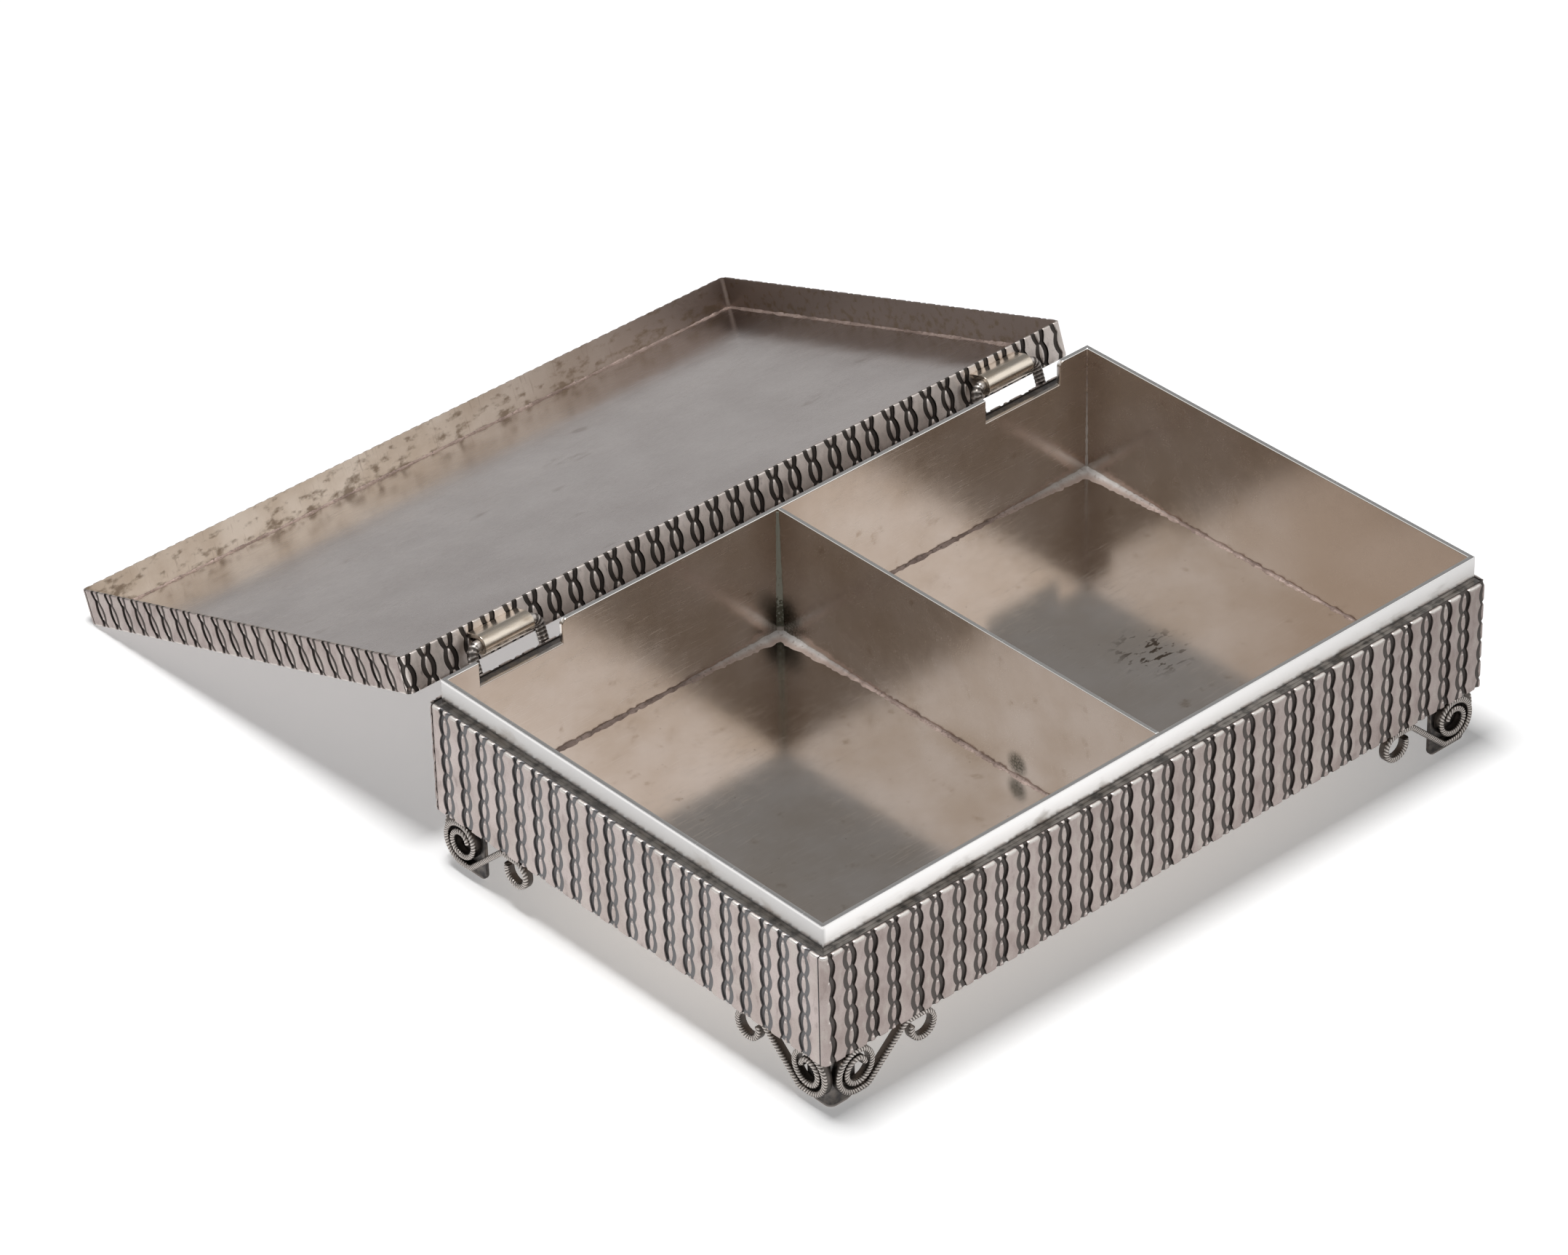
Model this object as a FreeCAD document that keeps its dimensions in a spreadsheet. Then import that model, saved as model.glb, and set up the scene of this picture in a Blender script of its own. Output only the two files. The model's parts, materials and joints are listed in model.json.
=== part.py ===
import FreeCAD, Part
import os
import re
from math import atan2, cos, pi, sin, sqrt

import Sketcher

# A hinged sheet silver box on four scrolled feet, shown with its lid laid open on the table.
# X runs along the box, Y from front to back and Z up. The origin is on the table, under the
# middle of the open box and lid together.

doc = FreeCAD.newDocument("silver_box")

# Driving dimensions in millimetres, shares of a turn where the name says so.
SIZES = {
    # sleeve: the patterned outer sheet
    "sleeve_length": 151.0,
    "sleeve_depth": 96.5,
    "sleeve_height": 21.4,
    "sleeve_sheet": 0.8,
    "corner_bend": 1.2,
    # ledge between the sleeve and the liner, wider at the hinges where the lid swings in
    "ledge_width": 1.6,
    "back_ledge_width": 2.1,
    "ledge_sheet": 0.8,
    "ledge_drop": 0.2,
    # liner, floor and divider
    "floor_sheet": 0.8,
    "liner_sheet": 0.9,
    "rim_height": 4.8,
    "divider_sheet": 0.8,
    # cut-outs in the liner's back wall
    "notch_length": 17.9,
    "notch_round": 1.2,
    "notch_floor": 0.1,
    # hinges: set in from the sleeve's ends, the axis behind its back face and above its top edge
    "hinge_inset": 18.1,
    "hinge_shift": 1.0,
    "hinge_back": 2.7,
    "hinge_up": 3.3,
    "wire_diameter": 2.0,
    "wire_clearance": 0.06,
    "barrel_sheet": 0.8,
    "barrel_length": 10.6,
    "barrel_slit": 0.6,
    "loop_end_gap": 0.3,
    "loop_bend": 1.6,
    "loop_drop": 4.0,
    # lid
    "skirt_height": 6.8,
    "skirt_sheet": 0.5,
    "lid_sheet": 0.8,
    "lid_edge": 0.4,
    "lid_seat_gap": 0.1,
    # corner feet
    "foot_height": 10.6,
    "foot_sheet": 0.8,
    "foot_wing": 9.1,
    "foot_bend": 1.4,
    "foot_round": 1.4,
    # the foot nearest the camera: smaller, and set in from the left side with its scroll
    "near_wing": 5.4,
    "near_round": 2.0,
    "near_recess": 0.8,
    "near_shift": 0.9,
    # scrolls of flat ribbon beside each foot
    "scroll_inset": 0.1,
    "scroll_corner_gap": 0.2,
    "scroll_lift": 1.7,
    "scroll_reach": 20.6,
    "ribbon_width": 1.7,
    "ribbon_thickness": 1.05,
    "coil_gap": 0.55,
    "arm_run": 1.3,
    "arm_bend": 2.0,
    "curl_radius": 2.4,
    "curl_run": 2.8,
    "coil_turn_share": 1.75,
    "curl_turn_share": 0.8,
    # how far every cutting shape runs past what it cuts
    "overrun": 1.0,
}

# Sizes that follow from the driving ones.
DERIVED = {
    "seam_height": "foot_height + sleeve_height",
    "floor_top": "foot_height + floor_sheet",
    "liner_height": "sleeve_height - floor_sheet + rim_height",
    "liner_length": "sleeve_length - 2 * ledge_width",
    "liner_inner_depth": "sleeve_depth - ledge_width - back_ledge_width - 2 * liner_sheet",
    "side_length": "sleeve_depth - 2 * corner_bend",
    "ledge_height": "seam_height - ledge_drop - ledge_sheet",
    "hinge_spacing": "sleeve_length - 2 * hinge_inset",
    "barrel_bore": "wire_diameter / 2 + wire_clearance",
    "barrel_radius": "barrel_bore + barrel_sheet",
    "rim_drop": "hinge_up - lid_seat_gap",
    "hinge_height": "seam_height + hinge_up",
    # the lid's rounded front edge, seen from the hinge axis, and the slope at which it meets the table
    "edge_reach": "sleeve_depth + hinge_back - lid_edge",
    "edge_rise": "skirt_height - rim_drop - lid_edge",
    "lid_slope": "asin((hinge_height - lid_edge) / sqrt(edge_reach ^ 2 + edge_rise ^ 2))"
                 " - atan2(edge_rise; edge_reach)",
    "lid_turn": "180 deg - lid_slope",
    "lid_reach": "(sleeve_depth + hinge_back) * cos(lid_slope) + rim_drop * sin(lid_slope)",
    # plan centre of the box, and the hinge axis behind it
    "box_y": "-(hinge_back + lid_reach) / 2",
    "hinge_y": "box_y + sleeve_depth / 2 + hinge_back",
    # hinge loops: their span, and their legs leaning in to the sleeve's back
    "loop_width": "barrel_length + 2 * (loop_end_gap + loop_bend)",
    "loop_lean": "atan2(hinge_back; hinge_up + loop_drop)",
    "loop_height": "sqrt(hinge_back ^ 2 + (hinge_up + loop_drop) ^ 2) + wire_diameter",
    "foot_inset": "scroll_inset + ribbon_width",
}

sizes = doc.addObject("Spreadsheet::Sheet", "Sizes")
for row, (name, value) in enumerate(SIZES.items(), start=1):
    sizes.set(f"A{row}", name)
    sizes.set(f"B{row}", str(value))
    sizes.setAlias(f"B{row}", name)

SHEET_OF = {name: "Sizes." for name in SIZES} | {name: "Derived." for name in DERIVED}


def bound(formula):
    """The formula with each size's name led by the sheet that holds it."""
    return re.sub(r"[a-z_]+", lambda word: SHEET_OF.get(word[0], "") + word[0], formula)


derived = doc.addObject("Spreadsheet::Sheet", "Derived")
for row, (name, formula) in enumerate(DERIVED.items(), start=1):
    derived.set(f"A{row}", name)
    derived.set(f"B{row}", "=" + bound(formula).replace("Derived.", ""))
    derived.setAlias(f"B{row}", name)
    doc.recompute()


def number(formula):
    """What a formula of sizes comes to, angles in degrees."""
    value = sizes.evalExpression(bound(formula))
    return float(getattr(value, "Value", value))


# Where pieces stand: the box about its plan centre on the table, the lid about the hinge axis,
# drawn shut and turned open.
BOX_FRAME = "placement(vector(0; box_y; 0); rotation(vector(0; 0; 1); 0))"
LID_FRAME = "placement(vector(0; hinge_y; hinge_height); rotation(vector(1; 0; 0); lid_turn))"

pieces = []


def place(piece, frame, x, y, z, turn="0", axis="0; 0; 1"):
    """Stand a piece at x, y, z in a frame, turned by degrees about an axis."""
    own = f"placement(vector({x}; {y}; {z}); rotation(vector({axis}); {turn}))"
    piece.setExpression("Placement", bound(f"{frame} * {own}"))


def keep(piece, label):
    """Name a finished sub-part and list it for writing."""
    piece.Label = label
    pieces.append(piece)
    return piece


# Sketches and solids

def arc_between(start, end, radius, turn):
    """Arc of less than half a circle from start to end, turning left for 1 and right for -1."""
    chord = end - start
    middle = (start + end) / 2
    side = FreeCAD.Vector(-chord.y, chord.x, 0) / chord.Length * turn
    centre = middle + side * sqrt(radius ** 2 - (chord.Length / 2) ** 2)
    first, last = (start, end) if turn > 0 else (end, start)
    begin = atan2(first.y - centre.y, first.x - centre.x)
    finish = atan2(last.y - centre.y, last.x - centre.x)
    circle = Part.Circle(centre, FreeCAD.Vector(0, 0, 1), radius)
    return Part.ArcOfCircle(circle, begin, finish if finish > begin else finish + 2 * pi)


def fix(sketch, name, kind, formula, *where):
    """Add one dimension to a sketch and bind it to a formula."""
    index = sketch.addConstraint(Sketcher.Constraint(kind, *where, number(formula)))
    sketch.renameConstraint(index, name)
    sketch.setExpression(f"Constraints.{name}", bound(formula))


def draw_outline(sketch, corners, bends, closed=True):
    """Lines through corners given as formulas, with an arc after each corner numbered in bends."""
    start_point, end_point, origin, x_axis, y_axis = 1, 2, -1, -1, -2
    points = [FreeCAD.Vector(number(x), number(y), 0) for x, y in corners]
    ends = []
    for i in range(len(points) if closed else len(points) - 1):
        start, end = points[i], points[(i + 1) % len(points)]
        if i in bends:
            radius, turn = bends[i]
            line = sketch.addGeometry(arc_between(start, end, number(radius), turn))
            fix(sketch, f"radius_{i}", "Radius", radius, line)
            ends.append((start_point, end_point) if turn > 0 else (end_point, start_point))
        else:
            sketch.addGeometry(Part.LineSegment(start, end))
            ends.append((start_point, end_point))
    for i in range(len(ends) if closed else len(ends) - 1):
        after = (i + 1) % len(ends)
        sketch.addConstraint(Sketcher.Constraint("Coincident", i, ends[i][1], after, ends[after][0]))
    for i, (x, y) in enumerate(corners):
        line, point = (i, ends[i][0]) if i < len(ends) else (i - 1, ends[-1][1])
        for kind, formula, axis in (("DistanceX", x, y_axis), ("DistanceY", y, x_axis)):
            if formula == "0":
                sketch.addConstraint(Sketcher.Constraint("PointOnObject", line, point, axis))
            else:
                fix(sketch, f"{kind}_{i}", kind, formula, origin, start_point, line, point)


def new_sketch(body, plane, name):
    """Empty sketch on one of a body's own origin planes."""
    sketch = body.newObject("Sketcher::SketchObject", name)
    sketch.AttachmentSupport = next(f for f in body.Origin.OriginFeatures if f.Role == plane)
    sketch.MapMode = "FlatFace"
    return sketch


def add_pad(body, plane, corners, bends, height, reverse=False, kind="Pad"):
    """Pad an outline drawn on a plane of a body, or cut it out of the body as a Pocket."""
    sketch = new_sketch(body, plane, "Outline")
    draw_outline(sketch, corners, bends)
    pad = body.newObject(f"PartDesign::{kind}", kind)
    pad.Profile = sketch
    pad.Reversed = reverse
    pad.setExpression("Length", bound(height))
    return pad


def new_body(label):
    return doc.addObject("PartDesign::Body", label)


def new_box(label, length, width, height):
    """Flat sheet or cutting block with its low corner at its origin."""
    box = doc.addObject("Part::Box", label)
    for side, formula in (("Length", length), ("Width", width), ("Height", height)):
        box.setExpression(side, bound(formula))
    return box


def new_cylinder(label, radius, length):
    cylinder = doc.addObject("Part::Cylinder", label)
    cylinder.setExpression("Radius", bound(radius))
    cylinder.setExpression("Height", bound(length))
    return cylinder


def join(kind, label, base, tool):
    """Boolean of two objects: kind is Fuse or Cut."""
    result = doc.addObject(f"Part::{kind}", label)
    result.Base = base
    result.Tool = tool
    return result


# Sheet metal sides shared by the sleeve and the lid

def long_side(label, sheet, height):
    """A long side whose ends bend a quarter turn round the corners; outer corner at the origin."""
    inner = f"corner_bend - {sheet}"
    corners = [
        ("corner_bend", "0"),
        ("sleeve_length - corner_bend", "0"),
        ("sleeve_length", "corner_bend"),
        (f"sleeve_length - {sheet}", "corner_bend"),
        ("sleeve_length - corner_bend", sheet),
        ("corner_bend", sheet),
        (sheet, "corner_bend"),
        ("0", "corner_bend"),
    ]
    bends = {1: ("corner_bend", 1), 3: (inner, -1), 5: (inner, -1), 7: ("corner_bend", 1)}
    body = new_body(label)
    pad = add_pad(body, "XY_Plane", corners, bends, height)
    return keep(body, label), pad


def fitted_plate(label, sheet, height):
    """A flat plate that fills the inside of four sides of the given sheet, its corners rounded to suit."""
    length = f"sleeve_length - 2 * {sheet}"
    depth = f"sleeve_depth - 2 * {sheet}"
    radius = f"corner_bend - {sheet}"
    corners = [
        (radius, "0"),
        (f"{length} - ({radius})", "0"),
        (length, radius),
        (length, f"{depth} - ({radius})"),
        (f"{length} - ({radius})", depth),
        (radius, depth),
        ("0", f"{depth} - ({radius})"),
        ("0", radius),
    ]
    bends = {corner: (radius, 1) for corner in (1, 3, 5, 7)}
    body = new_body(label)
    add_pad(body, "XY_Plane", corners, bends, height)
    return keep(body, label)


# Box

def make_sleeve():
    front, _ = long_side("sleeve_front", "sleeve_sheet", "sleeve_height")
    place(front, BOX_FRAME, "-sleeve_length / 2", "-sleeve_depth / 2", "foot_height")
    back, _ = long_side("sleeve_back", "sleeve_sheet", "sleeve_height")
    place(back, BOX_FRAME, "sleeve_length / 2", "sleeve_depth / 2", "foot_height", "180")
    for label, sign, turn in (("sleeve_left", "-", "0"), ("sleeve_right", "", "180")):
        side = keep(new_box(label, "sleeve_sheet", "side_length", "sleeve_height"), label)
        place(side, BOX_FRAME, f"{sign}sleeve_length / 2", f"{sign}side_length / 2", "foot_height", turn)


def make_ledge():
    """Narrow strips that close the top of the gap between the sleeve and the liner."""
    inner = "corner_bend - sleeve_sheet"
    for label, width, sign, turn in (
        ("ledge_front", "ledge_width", "-", "0"),
        ("ledge_back", "back_ledge_width", "", "180"),
    ):
        corners = [
            ("corner_bend", "sleeve_sheet"),
            ("sleeve_length - corner_bend", "sleeve_sheet"),
            ("sleeve_length - sleeve_sheet", "corner_bend"),
            ("sleeve_length - sleeve_sheet", width),
            ("sleeve_sheet", width),
            ("sleeve_sheet", "corner_bend"),
        ]
        strip = new_body(label)
        add_pad(strip, "XY_Plane", corners, {1: (inner, 1), 5: (inner, 1)}, "ledge_sheet")
        place(strip, BOX_FRAME, f"{sign}sleeve_length / 2", f"{sign}sleeve_depth / 2", "ledge_height", turn)
        keep(strip, label)
    for label, x in (
        ("ledge_left", "sleeve_sheet - sleeve_length / 2"),
        ("ledge_right", "sleeve_length / 2 - ledge_width"),
    ):
        depth = "sleeve_depth - ledge_width - back_ledge_width"
        strip = keep(new_box(label, "ledge_width - sleeve_sheet", depth, "ledge_sheet"), label)
        place(strip, BOX_FRAME, x, "ledge_width - sleeve_depth / 2", "ledge_height")


def make_liner():
    front_y = "ledge_width - sleeve_depth / 2"
    back_y = "sleeve_depth / 2 - back_ledge_width"
    front = keep(new_box("liner_front", "liner_length", "liner_sheet", "liner_height"), "liner_front")
    place(front, BOX_FRAME, "-liner_length / 2", front_y, "floor_top")
    for label, x in (
        ("liner_left", "-liner_length / 2"),
        ("liner_right", "liner_length / 2 - liner_sheet"),
    ):
        side = keep(new_box(label, "liner_sheet", "liner_inner_depth", "liner_height"), label)
        place(side, BOX_FRAME, x, f"{front_y} + liner_sheet", "floor_top")

    # back wall: a cut-out in its rim at each hinge, rounded at the right end
    left_notch = "(liner_length - hinge_spacing - notch_length) / 2"
    right_notch = "(liner_length + hinge_spacing - notch_length) / 2"
    notch_height = "liner_height - rim_height + notch_floor"
    corners = [("0", "0"), ("liner_length", "0"), ("liner_length", "liner_height")]
    bends = {}
    for start in (right_notch, left_notch):
        end = f"{start} + notch_length"
        bends[len(corners)] = ("notch_round", 1)
        corners += [
            (f"{end} + notch_round", "liner_height"),
            (end, "liner_height - notch_round"),
            (end, notch_height),
            (start, notch_height),
            (start, "liner_height"),
        ]
    corners.append(("0", "liner_height"))
    back = new_body("liner_back")
    add_pad(back, "XZ_Plane", corners, bends, "liner_sheet")
    place(back, BOX_FRAME, "-liner_length / 2", back_y, "floor_top")
    keep(back, "liner_back")


def make_floor_and_divider():
    floor = fitted_plate("floor_plate", "sleeve_sheet", "floor_sheet")
    floor_x = "sleeve_sheet - sleeve_length / 2"
    floor_y = "sleeve_sheet - sleeve_depth / 2"
    place(floor, BOX_FRAME, floor_x, floor_y, "foot_height")
    divider = keep(new_box("divider", "divider_sheet", "liner_inner_depth", "liner_height"), "divider")
    divider_y = "ledge_width + liner_sheet - sleeve_depth / 2"
    place(divider, BOX_FRAME, "-divider_sheet / 2", divider_y, "floor_top")


# Lid

def round_outer_edge(body, pad):
    """Round the outer top edge of a long side, bends included."""
    doc.recompute()
    top = number("skirt_height")
    bend = number("corner_bend")
    near = number("lid_edge") / 2
    names = []
    for index, edge in enumerate(pad.Shape.Edges, start=1):
        at_top = all(abs(vertex.Z - top) < near for vertex in edge.Vertexes)
        outer_bend = hasattr(edge.Curve, "Radius") and abs(edge.Curve.Radius - bend) < near
        outer_line = all(abs(vertex.Y) < near for vertex in edge.Vertexes)
        if at_top and (outer_bend or outer_line):
            names.append(f"Edge{index}")
    fillet = body.newObject("PartDesign::Fillet", "RoundedEdge")
    fillet.Base = (pad, names)
    fillet.setExpression("Radius", bound("lid_edge"))


def make_lid():
    for label, sign, y, turn in (
        ("lid_skirt_front", "-", "-hinge_back - sleeve_depth", "0"),
        ("lid_skirt_back", "", "-hinge_back", "180"),
    ):
        skirt, pad = long_side(label, "skirt_sheet", "skirt_height")
        round_outer_edge(skirt, pad)
        place(skirt, LID_FRAME, f"{sign}sleeve_length / 2", y, "-rim_drop", turn)
    profile = [
        ("0", "0"),
        ("skirt_sheet", "0"),
        ("skirt_sheet", "skirt_height"),
        ("lid_edge", "skirt_height"),
        ("0", "skirt_height - lid_edge"),
    ]
    for label, sign, y, turn in (
        ("lid_skirt_left", "-", "corner_bend - hinge_back - sleeve_depth", "0"),
        ("lid_skirt_right", "", "-hinge_back - corner_bend", "180"),
    ):
        skirt = new_body(label)
        add_pad(skirt, "XZ_Plane", profile, {3: ("lid_edge", 1)}, "side_length", reverse=True)
        place(skirt, LID_FRAME, f"{sign}sleeve_length / 2", y, "-rim_drop", turn)
        keep(skirt, label)
    plate = fitted_plate("lid_plate", "skirt_sheet", "lid_sheet")
    place(
        plate,
        LID_FRAME,
        "skirt_sheet - sleeve_length / 2",
        "skirt_sheet - hinge_back - sleeve_depth",
        "skirt_height - lid_sheet - rim_drop",
    )


# Hinges

def make_barrel(label, centre):
    """Sheet rolled round the wire, its tail reaching the lid's back skirt."""
    start = f"{centre} - barrel_length / 2"
    long_start = f"{start} - overrun"
    long_length = "barrel_length + 2 * overrun"
    along_x = ("90", "0; 1; 0")
    roll = new_cylinder(f"{label}_roll", "barrel_radius", "barrel_length")
    place(roll, LID_FRAME, start, "0", "0", *along_x)
    tail = new_box(f"{label}_tail", "barrel_length", "hinge_back", "barrel_sheet")
    place(tail, LID_FRAME, start, "-hinge_back", "-barrel_radius")
    bore = new_cylinder(f"{label}_bore", "barrel_bore", long_length)
    place(bore, LID_FRAME, long_start, "0", "0", *along_x)
    slit = new_box(f"{label}_slit", long_length, "hinge_back", "barrel_slit")
    place(slit, LID_FRAME, long_start, "-hinge_back", "-barrel_bore")
    sheet = join("Fuse", f"{label}_sheet", roll, tail)
    hollow = join("Fuse", f"{label}_hollow", bore, slit)
    keep(join("Cut", label, sheet, hollow), label)


def make_loop(label, centre):
    """Wire staple through a barrel, its two legs ending flush on the sleeve's back face."""
    wire = new_body(f"{label}_wire")
    path = new_sketch(wire, "XZ_Plane", "Path")
    shoulder = "loop_height - loop_bend"
    corners = [
        ("0", "0"),
        ("0", shoulder),
        ("loop_bend", "loop_height"),
        ("loop_width - loop_bend", "loop_height"),
        ("loop_width", shoulder),
        ("loop_width", "0"),
    ]
    draw_outline(path, corners, {1: ("loop_bend", -1), 3: ("loop_bend", -1)}, closed=False)
    section = new_sketch(wire, "XY_Plane", "Section")
    round_line = section.addGeometry(
        Part.Circle(FreeCAD.Vector(), FreeCAD.Vector(0, 0, 1), number("wire_diameter / 2"))
    )
    origin, start_point, centre_point = -1, 1, 3
    section.addConstraint(Sketcher.Constraint("Coincident", round_line, centre_point, origin, start_point))
    fix(section, "diameter", "Diameter", "wire_diameter", round_line)
    doc.recompute()
    pipe = wire.newObject("PartDesign::AdditivePipe", "Pipe")
    pipe.Profile = section
    pipe.Spine = (path, [f"Edge{i + 1}" for i in range(len(corners) - 1)])
    place(
        wire,
        BOX_FRAME,
        f"{centre} - loop_width / 2",
        "sleeve_depth / 2 + hinge_back - loop_height * sin(loop_lean)",
        "hinge_height - loop_height * cos(loop_lean)",
        "-loop_lean",
        "1; 0; 0",
    )
    trim = new_box(
        f"{label}_trim",
        "loop_width + 2 * wire_diameter",
        "back_ledge_width + wire_diameter",
        "sleeve_height",
    )
    place(
        trim,
        BOX_FRAME,
        f"{centre} - loop_width / 2 - wire_diameter",
        "sleeve_depth / 2 - back_ledge_width - wire_diameter",
        "foot_height",
    )
    keep(join("Cut", label, wire, trim), label)


def make_hinges():
    for side, sign in (("left", "-"), ("right", "")):
        centre = f"hinge_shift + {sign}hinge_spacing / 2"
        make_barrel(f"hinge_barrel_{side}", centre)
        make_loop(f"hinge_loop_{side}", centre)


# Feet

CORNERS = {
    "front_left": ("-", "-", "0"),
    "front_right": ("", "-", "90"),
    "back_right": ("", "", "180"),
    "back_left": ("-", "", "270"),
}


def make_corner_foot(label, x_sign, y_sign, turn, wing="foot_wing", curve="foot_round", side_inset="foot_inset"):
    """Plate bent to two wings that stand under a corner, their free lower corners rounded off."""
    plan = [
        ("foot_bend", "0"),
        (wing, "0"),
        (wing, "foot_sheet"),
        ("foot_bend", "foot_sheet"),
        ("foot_sheet", "foot_bend"),
        ("foot_sheet", wing),
        ("0", wing),
        ("0", "foot_bend"),
    ]
    bends = {3: ("foot_bend - foot_sheet", -1), 7: ("foot_bend", 1)}
    waste = [
        (f"{wing} - {curve}", "0"),
        (wing, curve),
        (f"{wing} + overrun", curve),
        (f"{wing} + overrun", "-overrun"),
        (f"{wing} - {curve}", "-overrun"),
    ]
    foot = new_body(label)
    add_pad(foot, "XY_Plane", plan, bends, "foot_height")
    for plane, reverse in (("XZ_Plane", False), ("YZ_Plane", True)):
        add_pad(foot, plane, waste, {0: (curve, 1)}, "foot_sheet", reverse, "Pocket")
    place(
        foot,
        BOX_FRAME,
        f"{x_sign}(sleeve_length / 2 - ({side_inset}))",
        f"{y_sign}(sleeve_depth / 2 - foot_inset)",
        "0",
        turn,
    )
    keep(foot, label)


def scroll_path():
    """Centreline of one scroll as (start, centre or None, turned angle, end) pieces, away from its corner.

    It runs from inside the coil outwards in half turns, along the bottom, up the slanted arm and
    into the small curl that hangs under the floor.
    """
    half = number("ribbon_thickness") / 2
    top = number("foot_height") - half
    bottom = number("scroll_lift") + half
    step = (number("ribbon_thickness") + number("coil_gap")) / 2
    outer = (top - bottom) / 2
    across = number("foot_inset + scroll_corner_gap") + half + outer
    lines = []

    def turn_round(start, centre, angle):
        arm = start - centre
        end = centre + FreeCAD.Vector(
            arm.x * cos(angle) - arm.y * sin(angle), arm.x * sin(angle) + arm.y * cos(angle), 0
        )
        lines.append((start, centre, angle, end))
        return end

    # the coil, each half turn one step wider than the last, about two centres one above the other
    half_turns = number("coil_turn_share") * 2
    count = int(half_turns) + (half_turns > int(half_turns))
    low_centre = FreeCAD.Vector(across, (top + bottom) / 2, 0)
    high_centre = low_centre + FreeCAD.Vector(0, step, 0)
    radii = [outer - step * i for i in range(count)][::-1]
    centres = [high_centre if i % 2 else low_centre for i in range(count)][::-1]
    first_share = half_turns - (count - 1)
    side = -1 if count % 2 else 1
    first_angle = pi / 2 * side - pi * first_share
    point = centres[0] + FreeCAD.Vector(cos(first_angle), sin(first_angle), 0) * radii[0]
    for i, centre in enumerate(centres):
        point = turn_round(point, centre, pi * (first_share if i == 0 else 1))

    # the arm: level at both ends, so one slope and one straight run join two equal bends
    end = point + FreeCAD.Vector(number("arm_run"), 0, 0)
    lines.append((point, None, 0, end))
    point = end
    bend = number("arm_bend")
    run = number("scroll_reach - curl_run") - point.x
    rise = top - point.y
    straight = sqrt(run ** 2 + (rise - 2 * bend) ** 2 - (2 * bend) ** 2)
    slope = atan2(rise - 2 * bend, run) + atan2(2 * bend, straight)
    point = turn_round(point, point + FreeCAD.Vector(0, bend, 0), slope)
    end = point + FreeCAD.Vector(cos(slope), sin(slope), 0) * straight
    lines.append((point, None, 0, end))
    point = turn_round(end, end + FreeCAD.Vector(sin(slope), -cos(slope), 0) * bend, -slope)
    end = point + FreeCAD.Vector(number("curl_run"), 0, 0)
    lines.append((point, None, 0, end))
    curl_centre = end - FreeCAD.Vector(0, number("curl_radius"), 0)
    turn_round(end, curl_centre, -2 * pi * number("curl_turn_share"))
    return lines


def offset_edge(piece, offset):
    """One piece of a path moved sideways: to the left of its run for a positive offset."""
    start, centre, angle, end = piece
    if centre is None:
        along = (end - start).normalize()
        shift = FreeCAD.Vector(-along.y, along.x, 0) * offset
        return Part.LineSegment(start + shift, end + shift).toShape()
    inwards = 1 if angle > 0 else -1
    radius = (start - centre).Length
    share = (radius - offset * inwards) / radius
    begin = atan2(start.y - centre.y, start.x - centre.x)
    middle = FreeCAD.Vector(cos(begin + angle / 2), sin(begin + angle / 2), 0) * radius
    points = [centre + (point - centre) * share for point in (start, centre + middle, end)]
    return Part.Arc(*points).toShape()


def scroll_shape():
    """The ribbon on edge: its outline drawn on both sides of the path and raised by the ribbon's width."""
    half = number("ribbon_thickness") / 2
    path = scroll_path()
    left = [offset_edge(piece, half) for piece in path]
    right = [offset_edge(piece, -half) for piece in path]

    def cap(index, at_start):
        ends = [edge.Vertexes[0 if at_start else -1].Point for edge in (left[index], right[index])]
        return Part.LineSegment(*ends).toShape()

    outline = Part.Wire(left + [cap(-1, False)] + right[::-1] + [cap(0, True)])
    return Part.Face(outline).extrude(FreeCAD.Vector(0, 0, number("ribbon_width")))


def make_scrolls():
    """Two scrolls to a corner, one under each side, standing against the wings of its foot."""
    shape = scroll_shape()
    on_edge = "rotation(vector(1; 0; 0); 90)"
    half_length = "sleeve_length / 2"
    half_depth = "sleeve_depth / 2"
    near_side, far_side = "foot_inset", "scroll_inset"
    places = {
        "scroll_front_left": (f"near_shift - {half_length}", f"{near_side} - {half_depth}", "0"),
        "scroll_front_right": (half_length, f"{far_side} - {half_depth}", "180"),
        "scroll_back_left": (f"-{half_length}", f"{half_depth} - {far_side}", "0"),
        "scroll_back_right": (half_length, f"{half_depth} - {near_side}", "180"),
        "scroll_left_front": (
            f"{far_side} + near_recess - {half_length}", f"-near_shift - {half_depth}", "90"
        ),
        "scroll_left_back": (f"{near_side} - {half_length}", half_depth, "270"),
        "scroll_right_front": (f"{half_length} - {near_side}", f"-{half_depth}", "90"),
        "scroll_right_back": (f"{half_length} - {far_side}", half_depth, "270"),
    }
    for label, (x, y, turn) in places.items():
        scroll = doc.addObject("Part::Feature", label)
        scroll.Shape = shape
        stand = f"placement(vector({x}; {y}; 0); rotation(vector(0; 0; 1); {turn}))"
        upright = f"placement(vector(0; 0; 0); {on_edge})"
        scroll.setExpression("Placement", bound(f"{BOX_FRAME} * {stand} * {upright}"))
        keep(scroll, label)


def make_feet():
    for corner, (x_sign, y_sign, turn) in CORNERS.items():
        own = ("near_wing", "near_round", "foot_inset + near_recess") if corner == "front_left" else ()
        make_corner_foot(f"corner_foot_{corner}", x_sign, y_sign, turn, *own)
    make_scrolls()


make_sleeve()
make_ledge()
make_liner()
make_floor_and_divider()
make_lid()
make_hinges()
make_feet()
doc.recompute()

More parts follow.
